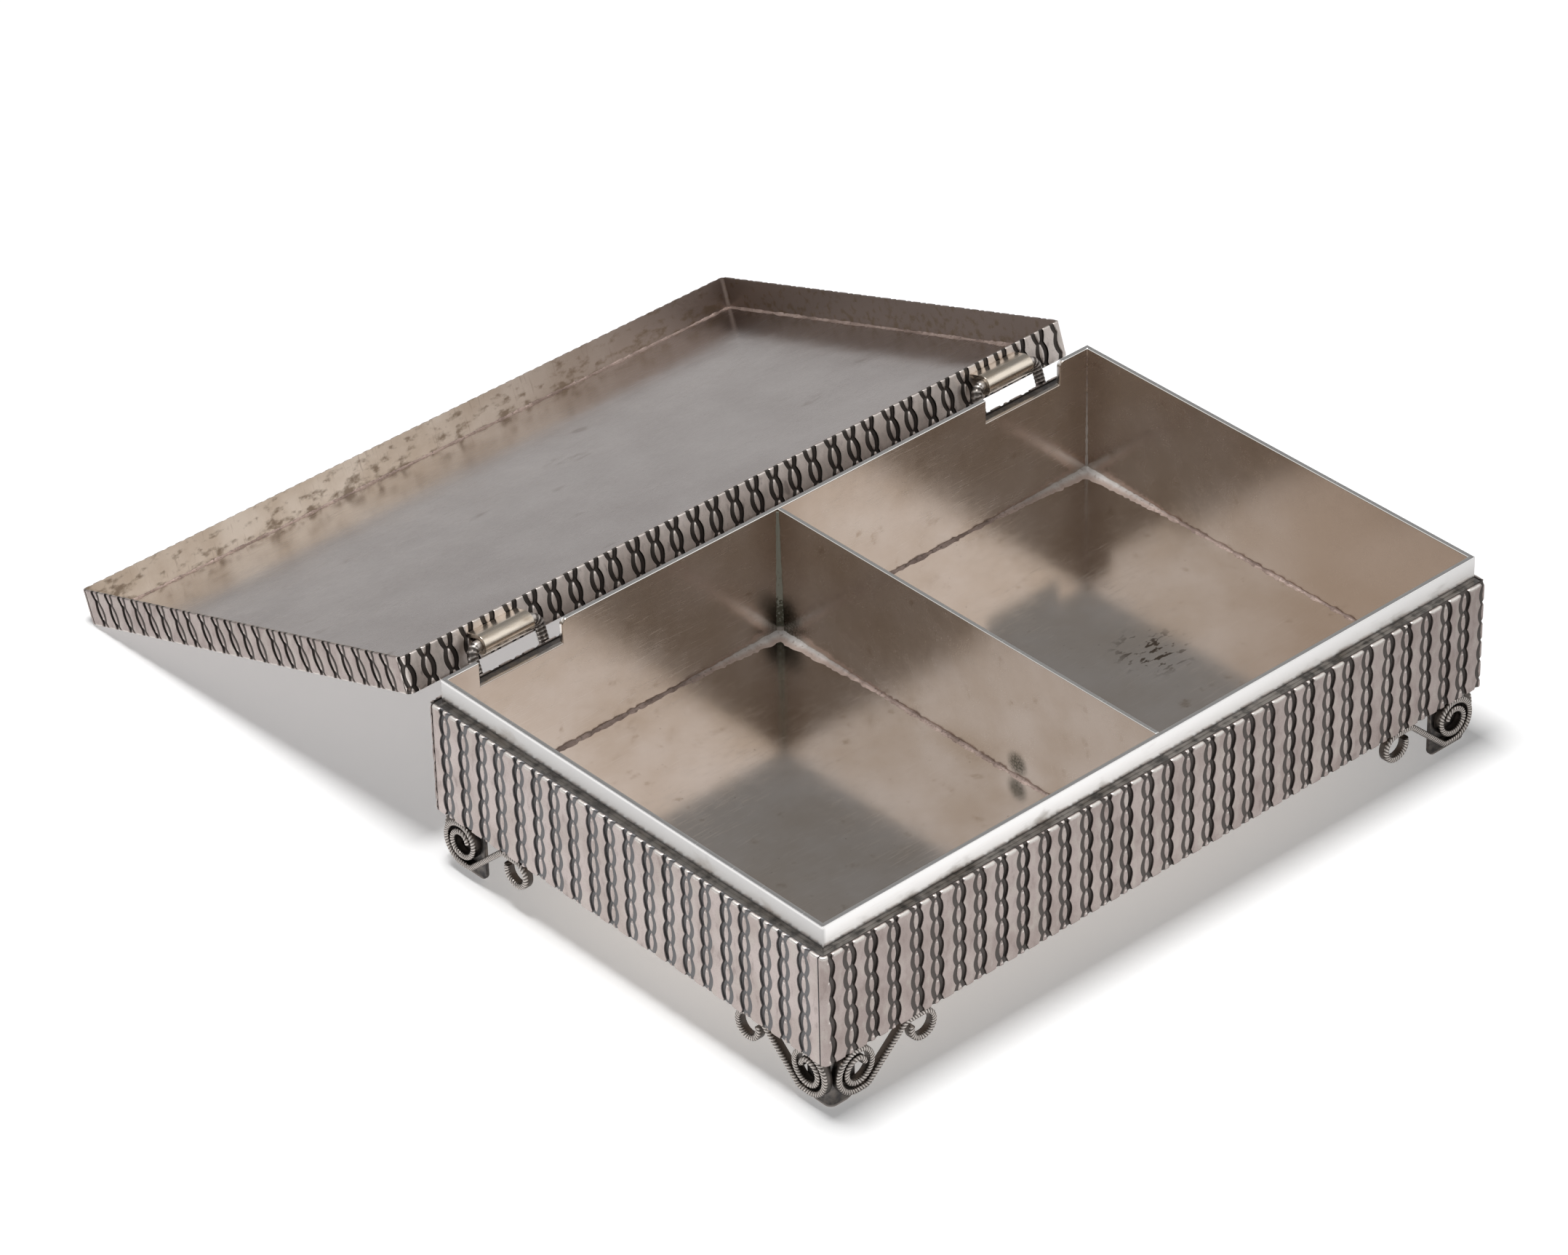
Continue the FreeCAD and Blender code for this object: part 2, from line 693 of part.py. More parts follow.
failed = [thing.Label for thing in doc.Objects if {"Invalid", "Error"} & set(thing.State)]
if failed:
    raise RuntimeError(f"not rebuilt: {failed}")
for piece in pieces:
    if piece.Shape.isNull() or not piece.Shape.isValid() or len(piece.Shape.Solids) != 1:
        raise RuntimeError(f"not one sound solid: {piece.Label}")

os.makedirs("parts", exist_ok=True)
for piece in pieces:
    piece.Shape.exportStep(f"parts/{piece.Label}.step")
print(f"{len(pieces)} pieces, lid slope {number('lid_slope'):.3f} degrees, "
      f"hinge at y {number('hinge_y'):.3f}, z {number('hinge_height'):.3f}")
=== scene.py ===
import json
from math import atan2, ceil, cos, pi, radians, sin, sqrt, tau
from random import Random

import bpy
from mathutils import Matrix, Vector


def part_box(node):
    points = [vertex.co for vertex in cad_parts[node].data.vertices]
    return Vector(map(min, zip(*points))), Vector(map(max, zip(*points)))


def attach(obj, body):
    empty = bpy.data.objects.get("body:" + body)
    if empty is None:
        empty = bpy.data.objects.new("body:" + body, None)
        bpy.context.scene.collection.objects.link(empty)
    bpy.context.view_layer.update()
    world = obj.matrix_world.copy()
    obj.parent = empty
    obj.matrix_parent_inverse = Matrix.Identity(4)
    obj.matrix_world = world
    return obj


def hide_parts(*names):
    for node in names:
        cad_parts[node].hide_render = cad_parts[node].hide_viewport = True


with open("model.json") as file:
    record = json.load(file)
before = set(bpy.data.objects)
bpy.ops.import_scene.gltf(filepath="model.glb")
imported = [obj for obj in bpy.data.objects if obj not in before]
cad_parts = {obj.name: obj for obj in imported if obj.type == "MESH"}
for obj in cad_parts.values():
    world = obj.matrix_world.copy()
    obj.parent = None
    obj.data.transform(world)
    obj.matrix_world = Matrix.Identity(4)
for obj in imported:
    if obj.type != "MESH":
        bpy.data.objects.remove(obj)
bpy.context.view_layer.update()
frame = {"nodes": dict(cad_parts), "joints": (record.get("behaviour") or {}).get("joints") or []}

# A hinged silver box with chain-struck sides on scrolled feet, its lid laid open behind it.
# Metres throughout: X along the box, Y from the front to the back, Z up.
MM = 0.001
X_AXIS, Y_AXIS, Z_AXIS = Vector((1, 0, 0)), Vector((0, 1, 0)), Vector((0, 0, 1))
# how near two points are one, and how near a place is found
SAME_POINT = 0.001 * MM
SAME_PLACE = 0.01 * MM


# The box and the lid as the frame gives them

def corners_in(turned, *nodes):
    """Lowest and highest corner of some nodes in a turned frame."""
    back = turned.inverted()
    spots = [back @ vertex.co for node in nodes for vertex in frame["nodes"][node].data.vertices]
    low = Vector([min(spot[axis] for spot in spots) for axis in range(3)])
    high = Vector([max(spot[axis] for spot in spots) for axis in range(3)])
    return low, high


SLEEVE = ("sleeve_front", "sleeve_back", "sleeve_left", "sleeve_right")
SKIRT = ("lid_skirt_front", "lid_skirt_back", "lid_skirt_left", "lid_skirt_right")
LINER = ("liner_front", "liner_back", "liner_left", "liner_right")
LEDGE = ("ledge_front", "ledge_back", "ledge_left", "ledge_right")
CORNERS = ("front_left", "front_right", "back_right", "back_left")

hinge = frame["joints"][0]
HINGE_PLACE = Vector(hinge["pos_m"])
LID_TURN = radians(360 - hinge["range_deg"][1])
AS_IT_STANDS = Matrix.Identity(4)
# turns a lid drawn shut, about the hinge axis, into the open one
LID_FRAME = Matrix.Translation(HINGE_PLACE) @ Matrix.Rotation(LID_TURN, 4, "X")
BODY_FRAMES = {"box": AS_IT_STANDS, "lid": LID_FRAME}

sleeve_low, sleeve_high = corners_in(AS_IT_STANDS, *SLEEVE)
skirt_low, skirt_high = corners_in(LID_FRAME, *SKIRT)
liner_low, liner_high = corners_in(AS_IT_STANDS, *LINER)
LEDGE_TOP = corners_in(AS_IT_STANDS, *LEDGE)[1].z
divider_low, divider_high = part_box("divider")
plate_low, plate_high = corners_in(LID_FRAME, "lid_plate")


def thickness(turned, node):
    low, high = corners_in(turned, node)
    return min(high - low)


CORNER_BEND = thickness(AS_IT_STANDS, "sleeve_front")
SLEEVE_SHEET = thickness(AS_IT_STANDS, "sleeve_left")
SKIRT_SHEET = thickness(LID_FRAME, "lid_skirt_left")
LINER_SHEET = thickness(AS_IT_STANDS, "liner_left")


# Modelling by hand: what every piece starts and ends with

# degrees past which an edge counts as sharp, on plain sheet, struck sheet, cording and solder
PLAIN_SHARP, STRUCK_SHARP, CORD_SHARP, SOLDER_SHARP = 30, 58, 50, 60
# faces that differ by less than this become one
FLAT_WITHIN = radians(0.5)


def deselect():
    bpy.ops.object.select_all(action="DESELECT")


def start_piece(name):
    """Name the primitive that was just added, its place and size put into its mesh."""
    bpy.ops.object.transform_apply(location=True, rotation=True, scale=True)
    piece = bpy.context.object
    piece.name = name
    piece.data.name = name
    return piece


def start_block(name, low, high):
    deselect()
    bpy.ops.mesh.primitive_cube_add(size=1, location=(low + high) / 2, scale=high - low)
    return start_piece(name)


def only(piece):
    deselect()
    piece.select_set(True)
    bpy.context.view_layer.objects.active = piece


def in_edit(piece, *steps):
    """Run edit-mode steps, each on the whole of a piece."""
    only(piece)
    bpy.ops.object.mode_set(mode="EDIT")
    for step in steps:
        bpy.ops.mesh.select_all(action="SELECT")
        step()
    bpy.ops.object.mode_set(mode="OBJECT")


def select_where(piece, kind, wanted):
    """Go into edit mode with only the wanted faces or edges selected."""
    only(piece)
    bpy.ops.object.mode_set(mode="EDIT")
    bpy.ops.mesh.select_mode(type=kind)
    bpy.ops.mesh.select_all(action="DESELECT")
    bpy.ops.object.mode_set(mode="OBJECT")
    for part in piece.data.polygons if kind == "FACE" else piece.data.edges:
        part.select = wanted(part)
    bpy.ops.object.mode_set(mode="EDIT")


def merge():
    bpy.ops.mesh.remove_doubles(threshold=SAME_POINT)


def cap_ends():
    bpy.ops.mesh.fill_holes(sides=0)


def face_outwards():
    bpy.ops.mesh.normals_make_consistent(inside=False)


def dissolve_flats():
    bpy.ops.mesh.dissolve_limited(angle_limit=FLAT_WITHIN)


def cut_at(place, **dropped):
    """A step that cuts a piece upright at a place's depth and drops its front or its back."""
    def step():
        bpy.ops.mesh.bisect(plane_co=place, plane_no=Y_AXIS, use_fill=True, **dropped)
    return step


def smooth(piece, angle):
    only(piece)
    bpy.ops.object.shade_smooth_by_angle(angle=radians(angle))


def apply_modifier(piece, kind, **settings):
    only(piece)
    modifier = piece.modifiers.new(kind.title(), kind)
    for name, value in settings.items():
        setattr(modifier, name, value)
    bpy.ops.object.modifier_apply(modifier=modifier.name)


def soften(piece, width, segments=2):
    """Round every sharp edge a little, as polishing does, and keep the faces between them flat."""
    sharp = radians(PLAIN_SHARP)
    apply_modifier(piece, "BEVEL", width=width, segments=segments, limit_method="ANGLE", angle_limit=sharp)
    smooth(piece, PLAIN_SHARP)
    apply_modifier(piece, "WEIGHTED_NORMAL", keep_sharp=True)


def finish_piece(piece, body, slot, material, *nodes):
    piece.data.materials.clear()
    piece.data.materials.append(material)
    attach(piece, body)
    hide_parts(*nodes)


def shaped_grid(name, rows, **marks):
    """A grid primitive whose rows of vertices are moved to the given places and marked with attributes."""
    across, along = len(rows[0]), len(rows)
    deselect()
    bpy.ops.mesh.primitive_grid_add(
        x_subdivisions=across - 1, y_subdivisions=along - 1, size=1, calc_uvs=False, align="WORLD"
    )
    piece = start_piece(name)
    order = []
    for vertex in piece.data.vertices:
        column = round((vertex.co.x + 0.5) * (across - 1))
        row = round((vertex.co.y + 0.5) * (along - 1))
        order.append((row, column))
    piece.data.vertices.foreach_set("co", [value for row, column in order for value in rows[row][column]])
    for mark, values in marks.items():
        layer = piece.data.attributes.new(mark, "FLOAT", "POINT")
        layer.data.foreach_set("value", [values[row][column] for row, column in order])
    piece.data.update()
    return piece


def softened_copy(node, name, width):
    """A node's own shape, merged to plain faces, with its edges rounded."""
    piece = bpy.data.objects.new(name, frame["nodes"][node].data.copy())
    bpy.context.scene.collection.objects.link(piece)
    in_edit(piece, merge, dissolve_flats, face_outwards)
    soften(piece, width)
    return piece


def ring_of_walls(name, low, high, wall):
    """Four walls of one thickness: a block, inset at both ends and bridged through."""
    piece = start_block(name, low, high)
    select_where(piece, "FACE", lambda face: abs(face.normal.z) > 0.5)
    bpy.ops.mesh.inset(thickness=wall, depth=0)
    bpy.ops.mesh.bridge_edge_loops()
    bpy.ops.object.mode_set(mode="OBJECT")
    in_edit(piece, face_outwards)
    return piece


# Materials

# fine scratches: how wide they are and how many widths long
HAIR_WIDTH = 0.12 * MM
HAIR_LENGTH_SHARE = 60


class Nodes:
    """Short ways to add shader nodes to a tree."""

    def __init__(self, tree):
        self.tree = tree

    def add(self, kind, inputs=(), **settings):
        node = self.tree.nodes.new(kind)
        for name, value in settings.items():
            setattr(node, name, value)
        for name, value in dict(inputs).items():
            self.feed(node.inputs[name], value)
        return node

    def feed(self, socket, value):
        if isinstance(value, bpy.types.NodeSocket):
            self.tree.links.new(value, socket)
        elif isinstance(value, tuple) and socket.type == "RGBA":
            socket.default_value = (*value, 1)
        else:
            socket.default_value = value

    def math(self, operation, first, second=0.0, clamp=False):
        node = self.add("ShaderNodeMath", {0: first, 1: second}, operation=operation, use_clamp=clamp)
        return node.outputs[0]

    def plus(self, first, second, clamp=False):
        return self.math("ADD", first, second, clamp)

    def minus(self, first, second):
        return self.math("SUBTRACT", first, second)

    def times(self, first, second):
        return self.math("MULTIPLY", first, second)

    def larger(self, first, second):
        return self.math("MAXIMUM", first, second)

    def unsigned(self, value):
        return self.math("ABSOLUTE", value)

    def measure(self, operation, first, second=(0, 0, 0)):
        """One number from one or two vectors."""
        node = self.add("ShaderNodeVectorMath", {0: first, 1: second}, operation=operation)
        return node.outputs["Value"]

    def range(self, value, low, high, to_low=0.0, to_high=1.0):
        node = self.add(
            "ShaderNodeMapRange",
            {"Value": value, "From Min": low, "From Max": high, "To Min": to_low, "To Max": to_high},
            interpolation_type="SMOOTHSTEP",
        )
        return node.outputs["Result"]

    def mix(self, share, first, second):
        node = self.add("ShaderNodeMix", data_type="RGBA")
        self.feed(node.inputs[0], share)
        self.feed(node.inputs[6], first)
        self.feed(node.inputs[7], second)
        return node.outputs[2]

    def tint(self, colour, added, value, low, high, most=1.0):
        """A colour that turns into another, or most of the way, as a value goes from low to high."""
        return self.mix(self.range(value, low, high, 0.0, most), colour, added)


class Finish(Nodes):
    """A metal's or the table's material, drawn in the piece's own coordinates."""

    def __init__(self, name):
        self.material = bpy.data.materials.new(name)
        self.material.use_nodes = True
        super().__init__(self.material.node_tree)
        self.shader = self.tree.nodes["Principled BSDF"]
        self.coordinates = self.add("ShaderNodeTexCoord").outputs["Object"]
        self.x, self.y, self.z = self.add("ShaderNodeSeparateXYZ", {"Vector": self.coordinates}).outputs

    def set(self, **inputs):
        for name, value in inputs.items():
            self.feed(self.shader.inputs[name.replace("_", " ")], value)

    def mark(self, name):
        return self.add("ShaderNodeAttribute", attribute_name=name).outputs["Fac"]

    def ragged_oxide(self, grain, share):
        """The oxide mark, its edges made ragged by the grain."""
        return self.plus(self.mark("oxide"), self.times(self.minus(grain, 0.5), share))

    def noise(self, size, detail=4.0, stretch=(1, 1, 1), turn=0.0):
        """Noise with spots of about the given size, drawn out along the stretched axes."""
        mapping = self.add(
            "ShaderNodeMapping",
            {
                "Vector": self.coordinates,
                "Rotation": (0, 0, turn),
                "Scale": tuple(1 / (size * share) for share in stretch),
            },
        )
        texture = self.add(
            "ShaderNodeTexNoise",
            {"Vector": mapping.outputs["Vector"], "Scale": 1.0, "Detail": detail, "Roughness": 0.55},
        )
        return texture.outputs["Fac"]

    def near(self, place, inner, outer):
        """One close to a place and nothing far from it."""
        return self.range(self.measure("DISTANCE", self.coordinates, place), inner, outer, 1.0, 0.0)

    def hairlines(self, *turns):
        """Sparse fine scratches along a few directions, one where there is a scratch."""
        lines = 0.0
        for turn in turns:
            strokes = self.noise(HAIR_WIDTH, detail=1.0, stretch=(HAIR_LENGTH_SHARE, 1, 1), turn=turn)
            lines = self.larger(lines, self.range(strokes, 0.68, 0.74))
        return lines

    def bump(self, height, depth, under=None):
        """A relief of the given depth, on top of another where there is one under it."""
        inputs = {"Height": height, "Distance": depth}
        if under:
            inputs["Normal"] = under
        return self.add("ShaderNodeBump", inputs).outputs["Normal"]

    def metal(self, colour, dull, relief, metallic=1.0):
        """The finished material: metal of this colour, dullness and relief."""
        self.set(Base_Color=colour, Metallic=metallic, Roughness=dull, Normal=relief)
        return self.material


# the inside mark along the lid's free edge, which grows to one at the plate
FREE_EDGE = 0.7


def struck_silver(name, rubbed, brown, groove, deep):
    """Satin sheet, dark in the struck grooves, with painted highlights on the eyes' upper tips and along
    the upper edge, blotched brown where it is the inside of the lid.
    """
    finish = Finish(name)
    inside = finish.mark("inside")
    grain = finish.noise(size=0.2 * MM)
    mottle = finish.noise(size=1.6 * MM, stretch=(1, 1, 2.2))
    blotch = finish.noise(size=9 * MM)
    ragged = finish.ragged_oxide(grain, share=0.3)
    light_mottle, dark_mottle = (0.52, 0.485, 0.44), (0.27, 0.22, 0.205)
    dark_grain, bright = (0.27, 0.225, 0.21), (0.78, 0.74, 0.70)
    outer = finish.tint(rubbed, brown, blotch, 0.36, 0.64)
    outer = finish.tint(outer, light_mottle, mottle, 0.45, 0.75, most=0.5)
    outer = finish.tint(outer, dark_mottle, mottle, 0.45, 0.25, most=0.6)
    outer = finish.tint(outer, dark_grain, grain, 0.58, 0.8, most=0.7)
    # painted highlight where the oxide mark falls below zero: the eyes' upper tips and the sheet's upper
    # edge
    outer = finish.tint(outer, bright, ragged, -0.1, -0.45)
    outer = finish.tint(outer, groove, ragged, 0.26, 0.5)
    outer = finish.tint(outer, deep, ragged, 0.8, 1.04)
    inner = lid_inside(finish, inside, blotch)
    colour = finish.tint(outer, inner, inside, 0.0, FREE_EDGE)
    dull = finish.range(grain, 0.2, 0.8, 0.33, 0.52)
    return finish.metal(colour, dull, finish.bump(grain, depth=0.02 * MM))


def lid_inside(finish, inside, blotch):
    """Colour of the skirt inside the lid: scraped, stained towards the plate and brown to the right."""
    pale, brown, scraped = (0.76, 0.685, 0.59), (0.60, 0.51, 0.41), (0.44, 0.36, 0.29)
    right_brown, stained = (0.31, 0.255, 0.225), (0.23, 0.175, 0.125)
    stain = finish.noise(size=1.5 * MM, detail=7.0, stretch=(1.8, 1, 1))
    scrape = finish.noise(size=0.5 * MM, detail=2.0, stretch=(1, 9, 9), turn=radians(30))
    colour = finish.tint(pale, brown, blotch, 0.3, 0.7)
    colour = finish.tint(colour, scraped, scrape, 0.60, 0.74, most=0.5)
    colour = finish.tint(colour, right_brown, finish.x, -0.25 * skirt_high.x, skirt_high.x)
    at_left = finish.range(finish.x, skirt_low.x, 0.84 * skirt_low.x, 0.14, 0.0)
    at_plate = finish.range(inside, FREE_EDGE, 1.0, 0.0, 0.10)
    specks = finish.plus(finish.plus(stain, at_left), at_plate)
    return finish.tint(colour, stained, specks, 0.54, 0.74, most=0.85)


def cord_silver():
    """Dark ribbon and wire, bright on the ridges of the cording."""
    finish = Finish("cord_silver")
    bright, dark = (0.56, 0.515, 0.48), (0.125, 0.11, 0.10)
    grain = finish.noise(size=0.3 * MM)
    colour = finish.tint(bright, dark, finish.ragged_oxide(grain, share=0.6), 0.3, 0.72)
    dull = finish.range(grain, 0.2, 0.8, 0.26, 0.46)
    return finish.metal(colour, dull, finish.bump(grain, depth=0.015 * MM))


# how far up the feet are worn light: all the way, and not any more
WORN_FOOT = (0.15 * MM, 0.7 * MM)


def tarnished_silver():
    """Dark slate and brown tarnish on the ledge and the feet, on the feet partly painted shade, worn light
    where the feet stand.
    """
    finish = Finish("tarnished_silver")
    slate, brown, worn = (0.10, 0.095, 0.095), (0.24, 0.215, 0.195), (0.50, 0.45, 0.42)
    spots = finish.noise(size=1.4 * MM, detail=5.0)
    grain = finish.noise(size=0.15 * MM, detail=2.0)
    # on the feet under the box, the dark slate is partly painted shade
    colour = finish.tint(slate, brown, spots, 0.35, 0.7)
    colour = finish.mix(finish.range(finish.z, *WORN_FOOT, 1.0, 0.0), colour, worn)
    dull = finish.range(spots, 0.3, 0.7, 0.45, 0.3)
    return finish.metal(colour, dull, finish.bump(grain, depth=0.012 * MM))


def ledge_step_silver():
    """Light and dark spots on the narrow step at the rim's foot."""
    finish = Finish("ledge_step_silver")
    light, dark = (0.34, 0.32, 0.30), (0.12, 0.115, 0.11)
    spots = finish.noise(size=1.8 * MM, detail=5.0)
    colour = finish.tint(light, dark, spots, 0.4, 0.66)
    dull = finish.range(spots, 0.3, 0.7, 0.28, 0.42)
    return finish.metal(colour, dull, finish.bump(spots, depth=0.03 * MM))


# where the solder ran together: the back corners at the divider and at the right wall
SOLDER_POOLS = (
    Vector((divider_low.x, liner_high.y - LINER_SHEET, liner_low.z)),
    Vector((liner_high.x - LINER_SHEET, liner_high.y - LINER_SHEET, liner_low.z)),
)
# dark spots with their reach: low on the divider, and round the crust of the left pool
DARK_SPOTS = (
    (Vector((-0.6, -62.3, 14.0)) * MM, 3.0 * MM),
    (SOLDER_POOLS[0] + Vector((0.5, -1.5, 3.0)) * MM, 6.0 * MM),
)
# how far the painted shade of the back corners, a darker brown, reaches
CORNER_BROWN = 9 * MM


def brown_corners(finish):
    """The share of painted shade: one up the back corners of both compartments, falling to nothing a
    little way off.
    """
    side, back = SOLDER_POOLS[1].xy
    from_divider = finish.unsigned(finish.x)
    at_back = finish.range(finish.y, back - CORNER_BROWN, back - LINER_SHEET)
    at_divider = finish.range(from_divider, LINER_SHEET, CORNER_BROWN, 1.0, 0.0)
    at_side = finish.range(from_divider, side - CORNER_BROWN, side - LINER_SHEET)
    return finish.times(at_back, finish.larger(at_divider, at_side))


def warm_wall(finish, least_dull, most_dull):
    """Colour, dullness and relief of the worn, slightly brown walls and floor, with painted shade in the
    back corners.
    """
    pale, brown, cloudy = (0.69, 0.63, 0.585), (0.61, 0.535, 0.47), (0.47, 0.39, 0.32)
    scratched, painted_corner_shade, spotted = (0.84, 0.80, 0.76), (0.36, 0.27, 0.21), (0.10, 0.095, 0.075)
    blotch = finish.noise(size=15 * MM)
    cloud = finish.noise(size=4 * MM)
    lines = finish.hairlines(radians(24), radians(-38), radians(78))
    crumbs = finish.range(finish.noise(size=0.4 * MM, detail=5.0), 0.30, 0.60, 0.5, 0.95)
    colour = finish.tint(pale, brown, blotch, 0.32, 0.7)
    colour = finish.tint(colour, cloudy, cloud, 0.62, 0.8)
    colour = finish.mix(finish.times(lines, 0.35), colour, scratched)
    # painted shade: darker brown up the back corners
    colour = finish.mix(finish.times(brown_corners(finish), 0.3), colour, painted_corner_shade)
    for place, reach in DARK_SPOTS:
        spot = finish.times(finish.near(place, 0.3 * reach, reach), crumbs)
        colour = finish.mix(spot, colour, spotted)
    dull = finish.plus(finish.range(cloud, 0.3, 0.7, least_dull, most_dull), finish.times(lines, 0.08))
    relief = finish.bump(blotch, depth=0.02 * MM)
    return colour, dull, finish.bump(lines, depth=0.002 * MM, under=relief)


# how far down the top edges of the walls and the divider carry a painted highlight
TOP_EDGE_HIGHLIGHT_DROP = 0.18 * MM
# over what width a wall's inner finish turns into its outer one
WALL_BLEND = 0.2 * MM


def liner_silver():
    """Warm and worn inside, brighter on the proud outer band, with a painted reflection that is light at
    the band's top and darker at its foot, painted shade on the band's left side, grey smudges at its foot
    and a painted highlight along the top edges.
    """
    finish = Finish("liner_silver")
    colour, dull, relief = warm_wall(finish, least_dull=0.165, most_dull=0.21)
    band_painted_dark_foot, band_painted_light_top, smudged = (0.62, 0.595, 0.57), (0.92, 0.905, 0.895), (0.33, 0.30, 0.27)
    browned, rubbed, black = (0.52, 0.43, 0.36), (0.95, 0.93, 0.90), (0.0, 0.0, 0.0)
    rim = liner_high.z
    half_x = liner_high.x - LINER_SHEET / 2
    half_y = (liner_high.y - liner_low.y) / 2 - LINER_SHEET / 2
    from_middle = finish.minus(finish.y, (liner_high.y + liner_low.y) / 2)
    past_x = finish.minus(finish.unsigned(finish.x), half_x)
    past_y = finish.minus(finish.unsigned(from_middle), half_y)
    outside = finish.range(finish.larger(past_x, past_y), -WALL_BLEND / 2, WALL_BLEND / 2)
    # painted reflection on the outer band: light at its top, darker down to its foot
    band = finish.tint(band_painted_dark_foot, band_painted_light_top, finish.z, LEDGE_TOP, rim)
    # painted shade: the outer band's left side is darkened, less so just below its top edge
    left = finish.range(finish.x, -liner_high.x, LINER_SHEET - liner_high.x, 0.38, 0.0)
    below_edge = finish.range(finish.z, rim - 4 * TOP_EDGE_HIGHLIGHT_DROP, rim - TOP_EDGE_HIGHLIGHT_DROP, 1.0, 0.2)
    band = finish.mix(finish.times(left, below_edge), band, black)
    smudge = finish.noise(size=5.0 * MM, detail=5.0, stretch=(1.6, 1.6, 1))
    foot = finish.range(finish.z, LEDGE_TOP, rim, 0.10, -0.14)
    band = finish.tint(band, smudged, finish.plus(smudge, foot), 0.50, 0.78)
    right = finish.range(finish.x, liner_high.x - 6 * LINER_SHEET, liner_high.x - 2 * LINER_SHEET)
    towards_front = finish.range(from_middle, -0.4 * half_y, 0.5 * half_y, 1.0, 0.1)
    colour = finish.mix(finish.times(right, towards_front), colour, browned)
    # painted highlight along the top edges of the walls and the divider
    colour = finish.tint(colour, rubbed, finish.z, rim - TOP_EDGE_HIGHLIGHT_DROP, rim - TOP_EDGE_HIGHLIGHT_DROP / 3)
    return finish.metal(finish.mix(outside, colour, band), dull, relief)


# the patch of pits in the right compartment: its middle, how far it is thick and how far it goes
FLOOR_PITS = Vector((41.5, -51.9, 11.4)) * MM
PITS_THICK, PITS_REACH = 2 * MM, 9 * MM


def floor_silver():
    """The warm floor, lighter at the left and in the right compartment, which has dark pits."""
    finish = Finish("floor_silver")
    colour, dull, relief = warm_wall(finish, least_dull=0.115, most_dull=0.15)
    light, pitted = (0.88, 0.79, 0.71), (0.16, 0.12, 0.09)
    right = finish.range(finish.x, divider_low.x, divider_high.x, 0.0, 0.14)
    left = finish.range(finish.x, liner_low.x, 0.5 * liner_low.x, 0.5, 0.0)
    colour = finish.mix(finish.plus(left, right), colour, light)
    speck = finish.noise(size=1.1 * MM, detail=3.0, stretch=(2.0, 1, 1), turn=radians(35))
    pits = finish.times(finish.near(FLOOR_PITS, PITS_THICK, PITS_REACH), finish.range(speck, 0.55, 0.62))
    dust = finish.range(finish.noise(size=0.5 * MM, detail=2.0), 0.74, 0.78)
    return finish.metal(finish.mix(finish.larger(pits, dust), colour, pitted), dull, relief)


def lid_silver():
    """Grey satin on the lid's plate, with faint rubbed stains."""
    finish = Finish("lid_silver")
    light, dark, stained = (0.64, 0.585, 0.565), (0.56, 0.505, 0.485), (0.47, 0.415, 0.39)
    blotch = finish.noise(size=17 * MM)
    stain = finish.noise(size=7 * MM, detail=3.0, stretch=(1.8, 1, 1))
    lines = finish.hairlines(radians(-15), radians(50))
    colour = finish.tint(light, dark, blotch, 0.3, 0.72)
    colour = finish.tint(colour, stained, stain, 0.66, 0.76)
    dull = finish.plus(finish.range(stain, 0.3, 0.7, 0.17, 0.23), finish.times(lines, 0.13))
    return finish.metal(colour, dull, finish.bump(blotch, depth=0.08 * MM))


def barrel_silver():
    """Yellowed and polished by the hinge's own rubbing."""
    finish = Finish("barrel_silver")
    yellow, brown = (0.76, 0.68, 0.58), (0.42, 0.34, 0.26)
    rub = finish.noise(size=1.6 * MM, stretch=(4, 1, 1))
    colour = finish.tint(yellow, brown, rub, 0.4, 0.75)
    dull = finish.range(rub, 0.3, 0.7, 0.18, 0.34)
    return finish.metal(colour, dull, finish.bump(rub, depth=0.01 * MM))


# a pool of solder: how far from its corner it is full, how far it runs, and over what heights it pales
POOL_FULL, POOL_REACH = 4 * MM, 26 * MM
POOL_PALE = (0.05 * MM, 0.4 * MM)
# the green crust in the back corner at the divider: over what distances it ends along the back wall,
# starts up the corner, starts towards the back and turns to mint up the corner
CRUST_ALONG = (1 * MM, 3 * MM)
CRUST_UP = (1 * MM, 1.8 * MM)
CRUST_BACK = (-8 * MM, -5 * MM)
CRUST_MINT = (5 * MM, 9 * MM)


